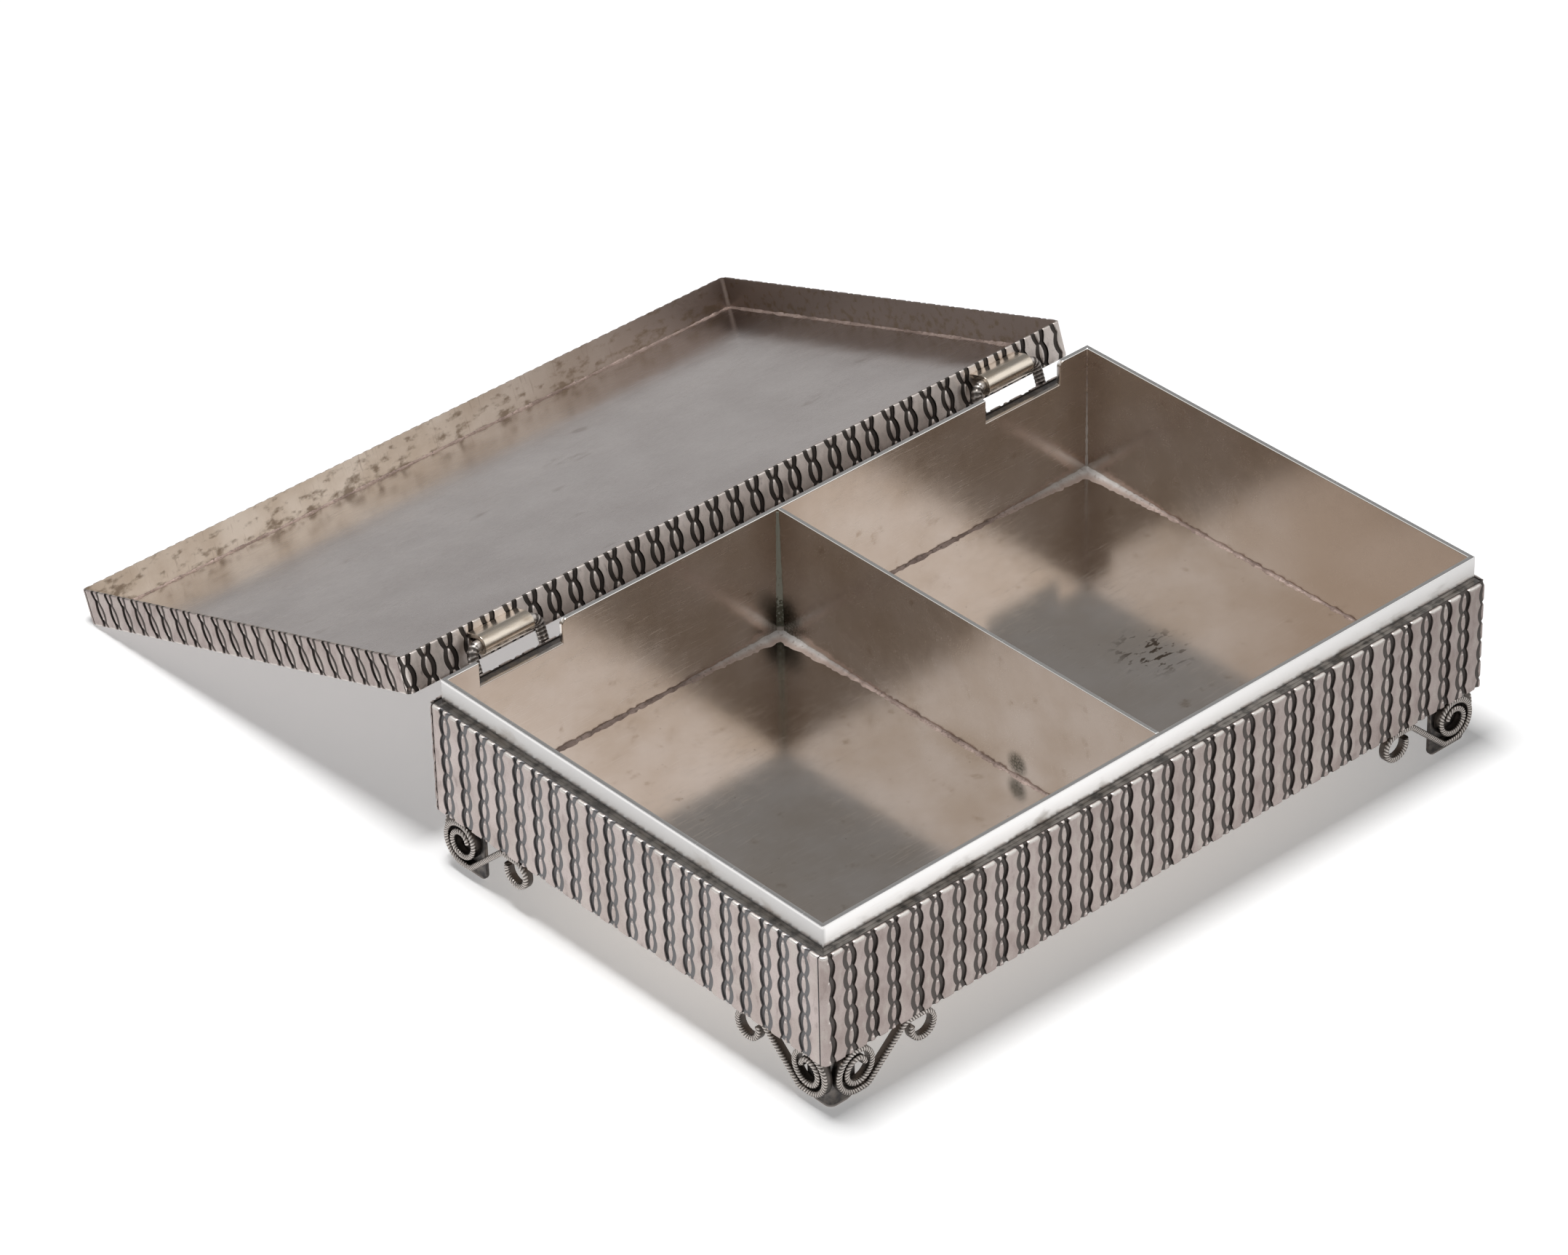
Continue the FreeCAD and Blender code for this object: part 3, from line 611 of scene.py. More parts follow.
def solder_silver():
    """Dull solder, pale where it pooled, and crusted green up the back corner at the divider."""
    finish = Finish("solder_silver")
    light, brown, dark_grain = (0.37, 0.285, 0.25), (0.23, 0.17, 0.145), (0.13, 0.095, 0.08)
    pool_foot, pool_top, pool_grain = (0.37, 0.29, 0.25), (0.54, 0.515, 0.495), (0.27, 0.22, 0.19)
    green, mint_green = (0.085, 0.09, 0.062), (0.34, 0.37, 0.325)
    grain = finish.noise(size=0.5 * MM)
    height = finish.minus(finish.z, liner_low.z)
    colour = finish.tint(light, brown, finish.noise(size=5 * MM, detail=3.0), 0.4, 0.62)
    colour = finish.tint(colour, dark_grain, grain, 0.52, 0.72)
    pooled_colour = finish.tint(pool_foot, pool_top, height, *POOL_PALE)
    pooled_colour = finish.tint(pooled_colour, pool_grain, grain, 0.55, 0.75)
    pale = 0.0
    for pool in SOLDER_POOLS:
        pale = finish.larger(pale, finish.near(pool, POOL_FULL, POOL_REACH))
    colour = finish.mix(pale, colour, pooled_colour)
    away = finish.unsigned(finish.minus(finish.x, SOLDER_POOLS[0].x))
    crust = finish.times(finish.range(away, *CRUST_ALONG, 1.0, 0.0), finish.range(height, *CRUST_UP))
    crust = finish.times(crust, finish.range(finish.y, *CRUST_BACK))
    mint = finish.plus(grain, finish.range(height, *CRUST_MINT, -0.08, 0.20))
    colour = finish.mix(crust, colour, finish.tint(green, mint_green, mint, 0.44, 0.60))
    dull = finish.range(grain, 0.2, 0.8, 0.4, 0.6)
    metallic = finish.range(finish.larger(crust, pale), 0.0, 1.0, 0.5, 0.15)
    return finish.metal(colour, dull, finish.bump(grain, depth=0.08 * MM), metallic)


# Chain-struck sheet

LINK_LENGTH = 3.88 * MM
EYE_HALF = 0.43 * MM
EYE_LEAST = 0.03 * MM
SCALLOP_LEAST = 0.92 * MM
SCALLOP_MORE = 0.60 * MM
GROOVE_DEPTH = 0.40 * MM
BAND_CROWN = 0.09 * MM
BAND_LINES = 5
ROW_STEP = 0.27 * MM
ROUND_STEPS = 3
# what is left of a sheet at its deepest groove
SHEET_LEAST = 0.06 * MM

# how an eye and the grooves beside it swell along a link, and how the crossing between two eyes sinks:
# over which share of the swelling, how deep and how dark
EYE_POWER, SCALLOP_POWER = 1.15, 0.9
CROSSING_SHARE, CROSSING_DEPTH, CROSSING_SHADE = 0.55, 0.78, 0.78
# the share of a groove past which its wall rises to the band and no crossing shows
GROOVE_WALL_SHARE = 0.8
# how far a chain sways to and fro, and how fast
SWAY, SWAY_TURN = 0.06 * MM, 2.3
# how far a chain strays from the others in place, lean, start and depth, from a seed
CHAIN_SEED = 7
PLACE_STRAY, LEAN_STRAY, START_STRAY = 0.2 * MM, 0.011, 0.11
DEPTH_SHARES = (0.82, 1.08)

# the painted highlight on the upper tip of each eye, in shares of a link, and the painted highlight along
# the upper edge of a sheet, which shows where there is little oxide
TIP_PLACE, TIP_SPREAD, TIP_PAINTED_HIGHLIGHT = 0.84, 0.13, 0.42
EDGE_HIGHLIGHT_REACH, EDGE_PAINTED_HIGHLIGHT, EDGE_HIGHLIGHT_OXIDE = 0.75 * MM, 0.5, 0.3

# the seam at a sheet's end, from the end inwards: distance from the end, depth and oxide
SEAM_WIDTH = 0.16 * MM
SEAM_DEPTH = 0.32 * MM
SEAM = ((0.0, SEAM_DEPTH, 1.1), (SEAM_WIDTH / 2, SEAM_DEPTH / 2, 1.0), (SEAM_WIDTH, BAND_CROWN, 0.15))

# lines across half a chain, from the eye's middle out: share of the eye's half width, share of the
# groove beside it, share of the groove's depth and share of oxide
HALF_CHAIN = (
    (0.00, 0.00, 0.06, 0.00),
    (0.78, 0.00, 0.10, 0.02),
    (1.00, 0.00, 0.24, 0.22),
    (1.00, 0.12, 0.56, 0.62),
    (1.00, 0.40, 0.84, 0.70),
    (1.00, 0.70, 1.00, 0.80),
    (1.00, 0.92, 0.90, 1.02),
    (1.00, 1.00, 0.08, 0.18),
)


def chain_columns(draw, first, pitch, depth, count, start_share, wide, lean):
    """Chains side by side, a little uneven in place, lean, start and depth."""
    return [
        {
            "wide": wide,
            "middle": first + index * pitch + draw.uniform(-PLACE_STRAY, PLACE_STRAY),
            "lean": lean + draw.uniform(-LEAN_STRAY, LEAN_STRAY),
            "start": start_share + draw.uniform(-START_STRAY, START_STRAY),
            "depth": depth * draw.uniform(*DEPTH_SHARES),
            "sway": draw.uniform(0, tau),
            "half": False,
        }
        for index in range(count)
    ]


def chain_across(column, level, height):
    """A chain's middle at one level, and its half: (distance out, height off the face, oxide)."""
    turn = level / LINK_LENGTH + column["start"]
    swell = abs(sin(pi * turn))
    eye = column["wide"] * (EYE_LEAST + EYE_HALF * swell ** EYE_POWER)
    scallop = column["wide"] * (SCALLOP_LEAST + SCALLOP_MORE * swell ** SCALLOP_POWER)
    rise = min(1, swell / CROSSING_SHARE)
    sunk = 0.0 if column["half"] else CROSSING_DEPTH * (1 - rise * rise * (3 - 2 * rise))
    # painted highlight: how near this row is to the upper tip of an eye
    tip = max(0.0, 1 - abs(turn % 1 - TIP_PLACE) / TIP_SPREAD)
    lines = []
    for eye_share, groove_share, depth_share, oxide in HALF_CHAIN:
        crossed = sunk if groove_share < GROOVE_WALL_SHARE else 0.0
        out = eye * eye_share + (scallop - eye) * groove_share
        shade = max(oxide, crossed * CROSSING_SHADE)
        # the eye's middle lines lose oxide at its upper tip, which paints a highlight there
        if groove_share == 0:
            shade -= tip * TIP_PAINTED_HIGHLIGHT
        lines.append((out, -column["depth"] * max(depth_share, crossed), shade))
    sway = SWAY * sin(turn * SWAY_TURN + column["sway"])
    return column["middle"] + column["lean"] * (level - height / 2) + sway, lines


def plain_band(start, end):
    """Lines of the slightly crowned band between two chains."""
    band = []
    for step in range(1, BAND_LINES + 1):
        share = step / (BAND_LINES + 1)
        band.append((start + (end - start) * share, -BAND_CROWN * (2 * share - 1) ** 2, 0.0))
    return band


def chain_row(level, height, columns, length):
    """One row of a struck sheet: (place along, height off the face, oxide) from seam to seam."""
    row = [(inwards, -deep, oxide) for inwards, deep, oxide in SEAM]
    for column in columns:
        middle, lines = chain_across(column, level, height)
        chain = [(middle + out, high, oxide) for out, high, oxide in lines]
        if not column["half"]:
            chain = [(middle - out, high, oxide) for out, high, oxide in lines[:0:-1]] + chain
        row += plain_band(row[-1][0], chain[0][0]) + chain
    row += plain_band(row[-1][0], length - SEAM_WIDTH)
    return row + [(length - inwards, -deep, oxide) for inwards, deep, oxide in reversed(SEAM)]


def flat_run(start, along, out):
    """Places on a flat face, by the place along it and the height off it."""
    def at(run, high):
        return start + along * run + out * high
    return at


def bent_run(start, along, out, flat):
    """Places on a face from its outer corner, both its ends bent a quarter turn round the corners."""
    quarter = pi / 2 * CORNER_BEND

    def at(run, high):
        if quarter <= run <= quarter + flat:
            return start + along * (CORNER_BEND + run - quarter) + out * high
        past = 0.0 if run < quarter else flat
        angle = (run - quarter - past) / CORNER_BEND
        centre = start + along * (CORNER_BEND + past) - out * CORNER_BEND
        return centre + (along * sin(angle) + out * cos(angle)) * (CORNER_BEND + high)
    return at


def rounded_levels(height, low_round, high_round):
    """Levels up a sheet, each with how far its rounded edges fall in there."""
    levels = []
    for step in range(ROUND_STEPS):
        angle = pi / 2 * (1 - step / ROUND_STEPS)
        levels.append((low_round * (1 - sin(angle)), low_round * (1 - cos(angle))))
    count = ceil((height - low_round - high_round) / ROW_STEP)
    for step in range(count + 1):
        levels.append((low_round + (height - low_round - high_round) * step / count, 0.0))
    for step in range(1, ROUND_STEPS + 1):
        angle = pi / 2 * step / ROUND_STEPS
        levels.append((height - high_round * (1 - sin(angle)), high_round * (1 - cos(angle))))
    return levels


def struck_sheet(name, at, length, bottom, height, sheet, rounds, columns, body):
    """A sheet of chains, closed round its edges, its back dark on the box and plain on the lid."""
    turned = BODY_FRAMES[body]
    dark_back = body == "box"
    deepest = SHEET_LEAST - sheet
    rows, oxides, insides = [], [], []
    for level, inset in rounded_levels(height, *rounds):
        spots = chain_row(level, height, columns, length)
        up = Z_AXIS * (bottom + level)
        rows.append([turned @ (at(run, max(high - inset, deepest)) + up) for run, high, _ in spots])
        # painted highlight along the sheet's upper edge: oxide is taken off there, where there is little
        # of it
        worn = EDGE_PAINTED_HIGHLIGHT * max(0.0, 1 - (height - level) / EDGE_HIGHLIGHT_REACH)
        oxides.append([oxide - worn if oxide < EDGE_HIGHLIGHT_OXIDE else oxide for _, _, oxide in spots])
        insides.append([0.0] * len(spots))
    lines = [run for run, _, _ in chain_row(height / 2, height, columns, length)]
    for level, inside in ((height, 1.0), (0.0, FREE_EDGE)):
        up = Z_AXIS * (bottom + level)
        rows.append([turned @ (at(run, -sheet) + up) for run in lines])
        oxides.append([1.0 if dark_back else 0.0] * len(lines))
        insides.append([0.0 if dark_back else inside] * len(lines))
    for around in (rows, oxides, insides):
        around.append(around[0])
    piece = shaped_grid(name, rows, oxide=oxides, inside=insides)
    in_edit(piece, merge, cap_ends, face_outwards)
    smooth(piece, STRUCK_SHARP)
    return piece


# from a short sheet's ends to its first and last chain, and from a long one's right end to its last
SIDE_FIRST = 3.4 * MM
LONG_LAST = 1.4 * MM


def struck_sides(draw, body, low, high, sheet, rounds, depth, long_chains, side_chains, pieces):
    """The four sheets round the box or the lid: long ones bent round the corners, short ones between."""
    flat = high.x - low.x - 2 * CORNER_BEND
    quarter = pi / 2 * CORNER_BEND
    long_sheet = (flat + 2 * quarter, quarter, LONG_LAST, long_chains)
    side_sheet = (high.y - low.y - 2 * CORNER_BEND, SIDE_FIRST, SIDE_FIRST, side_chains)
    left_end = Vector((low.x, high.y - CORNER_BEND, 0))
    right_end = Vector((high.x, low.y + CORNER_BEND, 0))
    runs = (
        (bent_run(Vector((low.x, low.y, 0)), X_AXIS, -Y_AXIS, flat), True),
        (bent_run(Vector((high.x, high.y, 0)), -X_AXIS, Y_AXIS, flat), True),
        (flat_run(left_end, -Y_AXIS, -X_AXIS), False),
        (flat_run(right_end, Y_AXIS, X_AXIS), False),
    )
    for (at, bent), (node, name, metal) in zip(runs, pieces):
        length, first, last, chains = long_sheet if bent else side_sheet
        pitch = (length - first - last) / (chains["count"] - 1)
        columns = chain_columns(draw, first, pitch, depth, **chains)
        if bent:
            columns[0] |= {"middle": first, "lean": 0.0, "half": True}
        piece = struck_sheet(name, at, length, low.z, high.z - low.z, sheet, rounds, columns, body)
        finish_piece(piece, body, "patterned_silver", metal, node)


SLEEVE_ROUNDS = (0.16 * MM, 0.34 * MM)
SKIRT_ROUNDS = (0.16 * MM, 0.40 * MM)
SKIRT_GROOVE = 0.33 * MM
# how many chains a sheet has, where in a link they start, how wide they are and how far they lean
SLEEVE_LONG_CHAINS = {"count": 33, "start_share": 0.61, "wide": 1.0, "lean": 0.0}
SLEEVE_SIDE_CHAINS = {"count": 20, "start_share": 0.86, "wide": 1.0, "lean": 0.0}
LID_LONG_CHAINS = {"count": 34, "start_share": 0.5, "wide": 1.0, "lean": 0.0}
LID_SIDE_CHAINS = {"count": 22, "start_share": 0.5, "wide": 0.80, "lean": -0.12}


def make_struck_sides():
    worn = struck_silver(
        "struck_silver",
        rubbed=(0.44, 0.375, 0.355), brown=(0.36, 0.30, 0.28),
        groove=(0.095, 0.084, 0.078), deep=(0.05, 0.041, 0.037),
    )
    # a lit copy of the struck silver with much lighter bands: painted light on the lid's skirt at the
    # hinge side
    bright = struck_silver(
        "struck_silver_painted_light_hinge_side",
        rubbed=(0.84, 0.765, 0.72), brown=(0.72, 0.645, 0.60),
        groove=(0.08, 0.07, 0.064), deep=(0.034, 0.029, 0.026),
    )
    # a lit copy of the struck silver with lighter bands and grooves: painted light on the box's left
    # sheet, lit brighter than the front
    rubbed = struck_silver(
        "struck_silver_painted_light_left",
        rubbed=(0.53, 0.46, 0.44), brown=(0.44, 0.375, 0.35),
        groove=(0.16, 0.157, 0.16), deep=(0.06, 0.052, 0.048),
    )
    draw = Random(CHAIN_SEED)
    names = ("front_sheet", "back_sheet", "left_sheet", "right_sheet")
    struck_sides(
        draw, "box", sleeve_low, sleeve_high, SLEEVE_SHEET, SLEEVE_ROUNDS, GROOVE_DEPTH,
        SLEEVE_LONG_CHAINS, SLEEVE_SIDE_CHAINS, zip(SLEEVE, names, (worn, worn, rubbed, worn)),
    )
    lid_names = [f"lid_{name}" for name in names]
    struck_sides(
        draw, "lid", skirt_low, skirt_high, SKIRT_SHEET, SKIRT_ROUNDS, SKIRT_GROOVE,
        LID_LONG_CHAINS, LID_SIDE_CHAINS, zip(SKIRT, lid_names, (worn, bright, worn, worn)),
    )


# Ribbons and wires

def walk(start, heading, moves, step):
    """Points along straight runs (length,) and turns (radius, angle): (place, heading, length so far)."""
    spots = [(start, heading, 0.0)]
    for move in moves:
        place, heading, gone = spots[-1]
        ahead = Vector((cos(heading), sin(heading)))
        left = Vector((-ahead.y, ahead.x))
        radius, angle = move if len(move) == 2 else (0.0, 0.0)
        run = radius * abs(angle) or move[0]
        count = max(2, ceil(run / step))
        for index in range(1, count + 1):
            share = index / count
            if not angle:
                spot = place + ahead * run * share
            else:
                bend = radius if angle > 0 else -radius
                spot = place + ahead * bend * sin(angle * share) + left * bend * (1 - cos(angle * share))
            spots.append((spot, heading + angle * share, gone + run * share))
    return spots


RIBBON_WIDTH = 1.7 * MM
RIBBON_THICKNESS = 1.05 * MM
COIL_GAP = 0.55 * MM
ARM_RUN = 1.3 * MM
ARM_BEND = 2.0 * MM
CURL_RADIUS = 2.4 * MM
CURL_RUN = 2.8 * MM
SCROLL_SPAN = 18.6 * MM
COIL_HALF_TURNS = 3.5
CURL_TURN_SHARE = 0.8
CORD_PITCH = 0.55 * MM
CORD_DEPTH = 0.10 * MM
CORD_SLANT = 1.0
# rows of points from one ridge of the cording to the next
CORD_STEPS = 6
# how dark the ribbon is beside the cording
RIBBON_OXIDE = 0.9

# round the ribbon's section: share of its thickness, share of its width, and how far the cording
# reaches there
RIBBON_SECTION = (
    (-0.44, 0.00, 0.0), (0.44, 0.00, 0.0), (0.50, 0.06, 0.0), (0.50, 0.58, 0.0), (0.50, 0.72, 0.7),
    (0.46, 0.86, 1.0), (0.34, 0.95, 1.0), (0.18, 0.99, 1.0), (0.00, 1.00, 1.0), (-0.18, 0.99, 1.0),
    (-0.34, 0.95, 1.0), (-0.46, 0.86, 1.0), (-0.50, 0.72, 0.7), (-0.50, 0.58, 0.0), (-0.50, 0.06, 0.0),
    (-0.44, 0.00, 0.0),
)


def scroll_moves(bottom, top, nearest):
    """The coil from its inner end outwards, the slanted arm and the small curl: start, heading, moves."""
    step = (RIBBON_THICKNESS + COIL_GAP) / 2
    outer = (top - bottom) / 2
    across = nearest + RIBBON_THICKNESS / 2 + outer
    first_share = COIL_HALF_TURNS % 1
    inner = outer - step * int(COIL_HALF_TURNS)
    moves = [(inner, pi * first_share)]
    moves += [(outer - step * index, pi) for index in reversed(range(int(COIL_HALF_TURNS)))]
    angle = pi / 2 - pi * first_share
    middle = Vector((across, (top + bottom) / 2 + step))
    start = middle + Vector((cos(angle), sin(angle))) * inner
    run = nearest + SCROLL_SPAN - CURL_RUN - across - ARM_RUN
    rise = top - bottom - 2 * ARM_BEND
    straight = sqrt(run ** 2 + rise ** 2 - (2 * ARM_BEND) ** 2)
    slope = atan2(rise, run) + atan2(2 * ARM_BEND, straight)
    moves += [(ARM_RUN,), (ARM_BEND, slope), (straight,), (ARM_BEND, -slope), (CURL_RUN,)]
    moves.append((CURL_RADIUS, -tau * CURL_TURN_SHARE))
    return start, angle + pi / 2, moves


def make_scroll(name, node, corner, along, out, material):
    """One ribbon on edge under a side of the box, its outward edge corded."""
    low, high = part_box(node)
    half = RIBBON_THICKNESS / 2
    nearest = min(abs((spot - corner).dot(along)) for spot in (low, high))
    back = min((spot - corner).dot(out) for spot in (low, high))
    bottom, top = low.z + half, high.z - half
    start, heading, moves = scroll_moves(bottom, top, nearest)
    rows, oxides = [], []
    for place, turn, gone in walk(start, heading, moves, CORD_PITCH / CORD_STEPS):
        side = Vector((-sin(turn), cos(turn)))
        ring, shades = [], []
        for thick_share, wide_share, corded in RIBBON_SECTION:
            ridge = 0.5 + 0.5 * cos(tau * (gone / CORD_PITCH + thick_share * CORD_SLANT))
            spot = place + side * RIBBON_THICKNESS * thick_share
            depth = back + RIBBON_WIDTH * wide_share - corded * (1 - ridge) * CORD_DEPTH
            ring.append(corner + along * spot.x + out * depth + Z_AXIS * spot.y)
            shades.append(corded * (1 - ridge) + (1 - corded) * RIBBON_OXIDE)
        rows.append(ring)
        oxides.append(shades)
    piece = shaped_grid(name, rows, oxide=oxides)
    in_edit(piece, merge, cap_ends, face_outwards)
    smooth(piece, CORD_SHARP)
    finish_piece(piece, "box", "tarnished_silver", material, node)


def make_scrolls(material):
    for depth_word, y, y_out in (("front", sleeve_low.y, -Y_AXIS), ("back", sleeve_high.y, Y_AXIS)):
        for side_word, x, x_out in (("left", sleeve_low.x, -X_AXIS), ("right", sleeve_high.x, X_AXIS)):
            corner = Vector((x, y, 0))
            make_scroll(f"{depth_word}_scroll_{side_word}", f"scroll_{depth_word}_{side_word}",
                        corner, -x_out, y_out, material)
            make_scroll(f"{side_word}_scroll_{depth_word}", f"scroll_{side_word}_{depth_word}",
                        corner, -y_out, x_out, material)


WIRE_DIAMETER = 2.0 * MM
WIRE_SIDES = 16
LOOP_BEND = 1.6 * MM
LOOP_DROP = 7.3 * MM
WIRE_CORD_PITCH = 0.7 * MM
WIRE_CORD_DEPTH = 0.09 * MM
# how far the cording goes into a staple's bends, and how dark plain wire and the cording's ridges are
CORDED_BEND_SHARE = 0.7
WIRE_OXIDE = 0.35


def make_loop(side, material):
    """A wire staple through a hinge barrel, its legs corded and cut off at the back of the box."""
    node = f"hinge_loop_{side}"
    low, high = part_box(node)
    half = (high.x - low.x - WIRE_DIAMETER) / 2
    middle_x = (low.x + high.x) / 2
    set_back = HINGE_PLACE.y - sleeve_high.y
    lean = atan2(set_back, LOOP_DROP)
    rise = Vector((0, sin(lean), cos(lean)))
    front = Vector((0, cos(lean), -sin(lean)))
    leg = sqrt(set_back ** 2 + LOOP_DROP ** 2) + WIRE_DIAMETER
    moves = [
        (leg - LOOP_BEND,), (LOOP_BEND, -pi / 2), (2 * (half - LOOP_BEND),), (LOOP_BEND, -pi / 2),
        (leg - LOOP_BEND,),
    ]
    foot = Vector((middle_x, HINGE_PLACE.y, HINGE_PLACE.z)) - rise * leg
    rows, oxides = [], []
    for place, turn, gone in walk(Vector((-half, 0)), pi / 2, moves, WIRE_CORD_PITCH / CORD_STEPS):
        corded = 1.0 if abs(place.x) > half - LOOP_BEND * CORDED_BEND_SHARE else 0.0
        ring, shades = [], []
        for index in range(WIRE_SIDES + 1):
            angle = tau * index / WIRE_SIDES
            ridge = 0.5 + 0.5 * cos(tau * gone / WIRE_CORD_PITCH + angle)
            radius = WIRE_DIAMETER / 2 - WIRE_CORD_DEPTH * corded * (1 - ridge)
            spot = place + Vector((-sin(turn), cos(turn))) * radius * cos(angle)
            ring.append(foot + X_AXIS * spot.x + rise * spot.y + front * radius * sin(angle))
            shades.append(WIRE_OXIDE + (1 - WIRE_OXIDE) * corded * (1 - ridge))
        rows.append(ring)
        oxides.append(shades)
    piece = shaped_grid(f"loop_{side}", rows, oxide=oxides)
    in_edit(piece, merge, cut_at(sleeve_high, clear_inner=True), cap_ends, face_outwards)
    smooth(piece, CORD_SHARP)
    finish_piece(piece, "box", "tarnished_silver", material, node)


# Liner, ledge, solder and plain parts

# how far the plain parts' edges are rounded
RIM_ROUND = 0.17 * MM
DIVIDER_ROUND = 0.14 * MM
BARREL_ROUND = 0.12 * MM
FOOT_ROUND = 0.18 * MM
STEP_ROUND = 0.05 * MM

NOTCH_LENGTH = 17.9 * MM
NOTCH_ROUND = 1.2 * MM
NOTCH_FLOOR = 0.1 * MM
HINGE_SHIFT = 1.0 * MM


def make_liner(material):
    """The liner's four walls as one ring, cut out at the hinges, its rim rounded by polishing."""
    piece = ring_of_walls("liner_walls", liner_low, liner_high, LINER_SHEET)
    for barrel in ("hinge_barrel_left", "hinge_barrel_right"):
        low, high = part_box(barrel)
        middle = (low.x + high.x) / 2 - HINGE_SHIFT
        cut_notch(piece, middle - NOTCH_LENGTH / 2, middle + NOTCH_LENGTH / 2)
    soften(piece, RIM_ROUND, segments=3)
    finish_piece(piece, "box", "polished_silver", material, *LINER)


def cut_notch(piece, start, end):
    """Cut the back wall down for a hinge and round the wall's top corner at the cut's right end."""
    cutter = start_block(
        "notch_cutter",
        Vector((start, liner_high.y - 1.5 * LINER_SHEET, sleeve_high.z + NOTCH_FLOOR)),
        Vector((end, liner_high.y + LINER_SHEET, liner_high.z + LINER_SHEET)),
    )
    apply_modifier(piece, "BOOLEAN", operation="DIFFERENCE", object=cutter, solver="EXACT")
    bpy.data.objects.remove(cutter)

    def at_corner(edge):
        ends = [piece.data.vertices[index].co for index in edge.vertices]
        return all(max(abs(spot.x - end), abs(spot.z - liner_high.z)) < SAME_PLACE for spot in ends)

    select_where(piece, "EDGE", at_corner)
    bpy.ops.mesh.bevel(offset=NOTCH_ROUND, segments=6, affect="EDGES")
    bpy.ops.object.mode_set(mode="OBJECT")


STEP_WIDTH = 0.75 * MM
STEP_HEIGHT = 0.14 * MM


def make_ledge_step():
    """A narrow step on the ledge along the foot of the liner, left off at the hinges."""
    reach = Vector((STEP_WIDTH, STEP_WIDTH, 0))
    low = Vector((liner_low.x, liner_low.y, LEDGE_TOP)) - reach
    high = Vector((liner_high.x, liner_high.y, LEDGE_TOP + STEP_HEIGHT)) + reach
    piece = ring_of_walls("ledge_step", low, high, STEP_WIDTH)
    in_edit(piece, cut_at(liner_high, clear_outer=True), face_outwards)
    soften(piece, STEP_ROUND)
    finish_piece(piece, "box", "tarnished_silver", ledge_step_silver())


SOLDER_STEP = 0.7 * MM
# how uneven the beads are along the floor and up the corners, in shares of their size, from a seed
SOLDER_SEED = 11
LOOP_SHARES = (0.5, 1.25)
CORNER_SHARES = (0.6, 1.2)
# the share of its size that a corner's bead has at the floor, and how much of that it loses by the rim
CORNER_FOOT, CORNER_THINNING = 1.15, 0.6
# how much wider than high a bead is, how much a pool adds to it over the floor and up the walls, and
# how fast that falls off towards the pool's edge
BEAD_SPREAD = 1.9
POOL_FLOOR = 4.6
POOL_WALL = 1.3
POOL_POWER = 1.4
# how much the crust adds to the bead in its corner, and the share of it that goes on above the pool
SEAM_CRUST, CRUST_SHARE = 1.5, 0.5
# section of a bead in a corner, in shares of its size along one wall and up the other
BEAD_SECTION = (
    (-0.1, -0.1), (1.0, -0.05), (0.55, 0.16), (0.32, 0.32), (0.16, 0.55), (-0.05, 1.0), (-0.1, -0.1),
)


def pooled(place):
    """One in the middle of a pool of solder, falling to nothing at its edge."""
    nearest = min((place - pool).length for pool in SOLDER_POOLS)
    return max(0.0, 1 - nearest / POOL_REACH) ** POOL_POWER


def solder_loop(name, low, high, up, size, body, draw, material):
    """An uneven bead of solder round the foot of four walls."""
    corners = [
        (low, X_AXIS, Y_AXIS),
        (Vector((high.x, low.y, low.z)), Y_AXIS, -X_AXIS),
        (Vector((high.x, high.y, low.z)), -X_AXIS, -Y_AXIS),
        (Vector((low.x, high.y, low.z)), -Y_AXIS, X_AXIS),
    ]
    rows = []
    for index, (corner, along, inward) in enumerate(corners):
        length = (corners[(index + 1) % 4][0] - corner).length
        count = ceil(length / SOLDER_STEP)
        for step in range(count):
            reach = inward + along if step == 0 else inward
            bead = size * draw.uniform(*LOOP_SHARES)
            place = corner + along * length * step / count
            pool = size * pooled(place)
            over = reach * (BEAD_SPREAD * bead + POOL_FLOOR * pool)
            rise = up * (bead + POOL_WALL * pool)
            rows.append([BODY_FRAMES[body] @ (place + over * a + rise * b) for a, b in BEAD_SECTION])
    rows.append(rows[0])
    piece = shaped_grid(name, rows)
    in_edit(piece, merge, face_outwards)
    smooth(piece, SOLDER_SHARP)
    finish_piece(piece, body, "polished_silver", material)


def solder_corners(name, low, high, size, draw, material):
    """Beads up the four upright corners of a compartment, thinning out towards the rim."""
    beads = []
    for x, x_in in ((low.x, X_AXIS), (high.x, -X_AXIS)):
        for y, y_in in ((low.y, Y_AXIS), (high.y, -Y_AXIS)):
            count = ceil((high.z - low.z) / SOLDER_STEP)
            rows = []
            for step in range(count + 1):
                share = step / count
                bead = size * draw.uniform(*CORNER_SHARES) * (CORNER_FOOT - CORNER_THINNING * share)
                place = Vector((x, y, low.z + (high.z - low.z) * share))
                if (place.xy - SOLDER_POOLS[0].xy).length < SAME_PLACE:
                    bead += size * SEAM_CRUST * (CRUST_SHARE + pooled(place))
                rows.append([place + x_in * bead * a + y_in * bead * b for a, b in BEAD_SECTION])
            beads.append(shaped_grid(name, rows))
    for bead in beads:
        bead.select_set(True)
    bpy.ops.object.join()
    piece = start_piece(name)
    in_edit(piece, merge, cap_ends, face_outwards)
    smooth(piece, SOLDER_SHARP)
    finish_piece(piece, "box", "polished_silver", material)


FLOOR_BEAD = 0.42 * MM
CORNER_BEAD = 0.34 * MM
LID_BEAD = 0.36 * MM
BELOW_RIM = 0.6 * MM


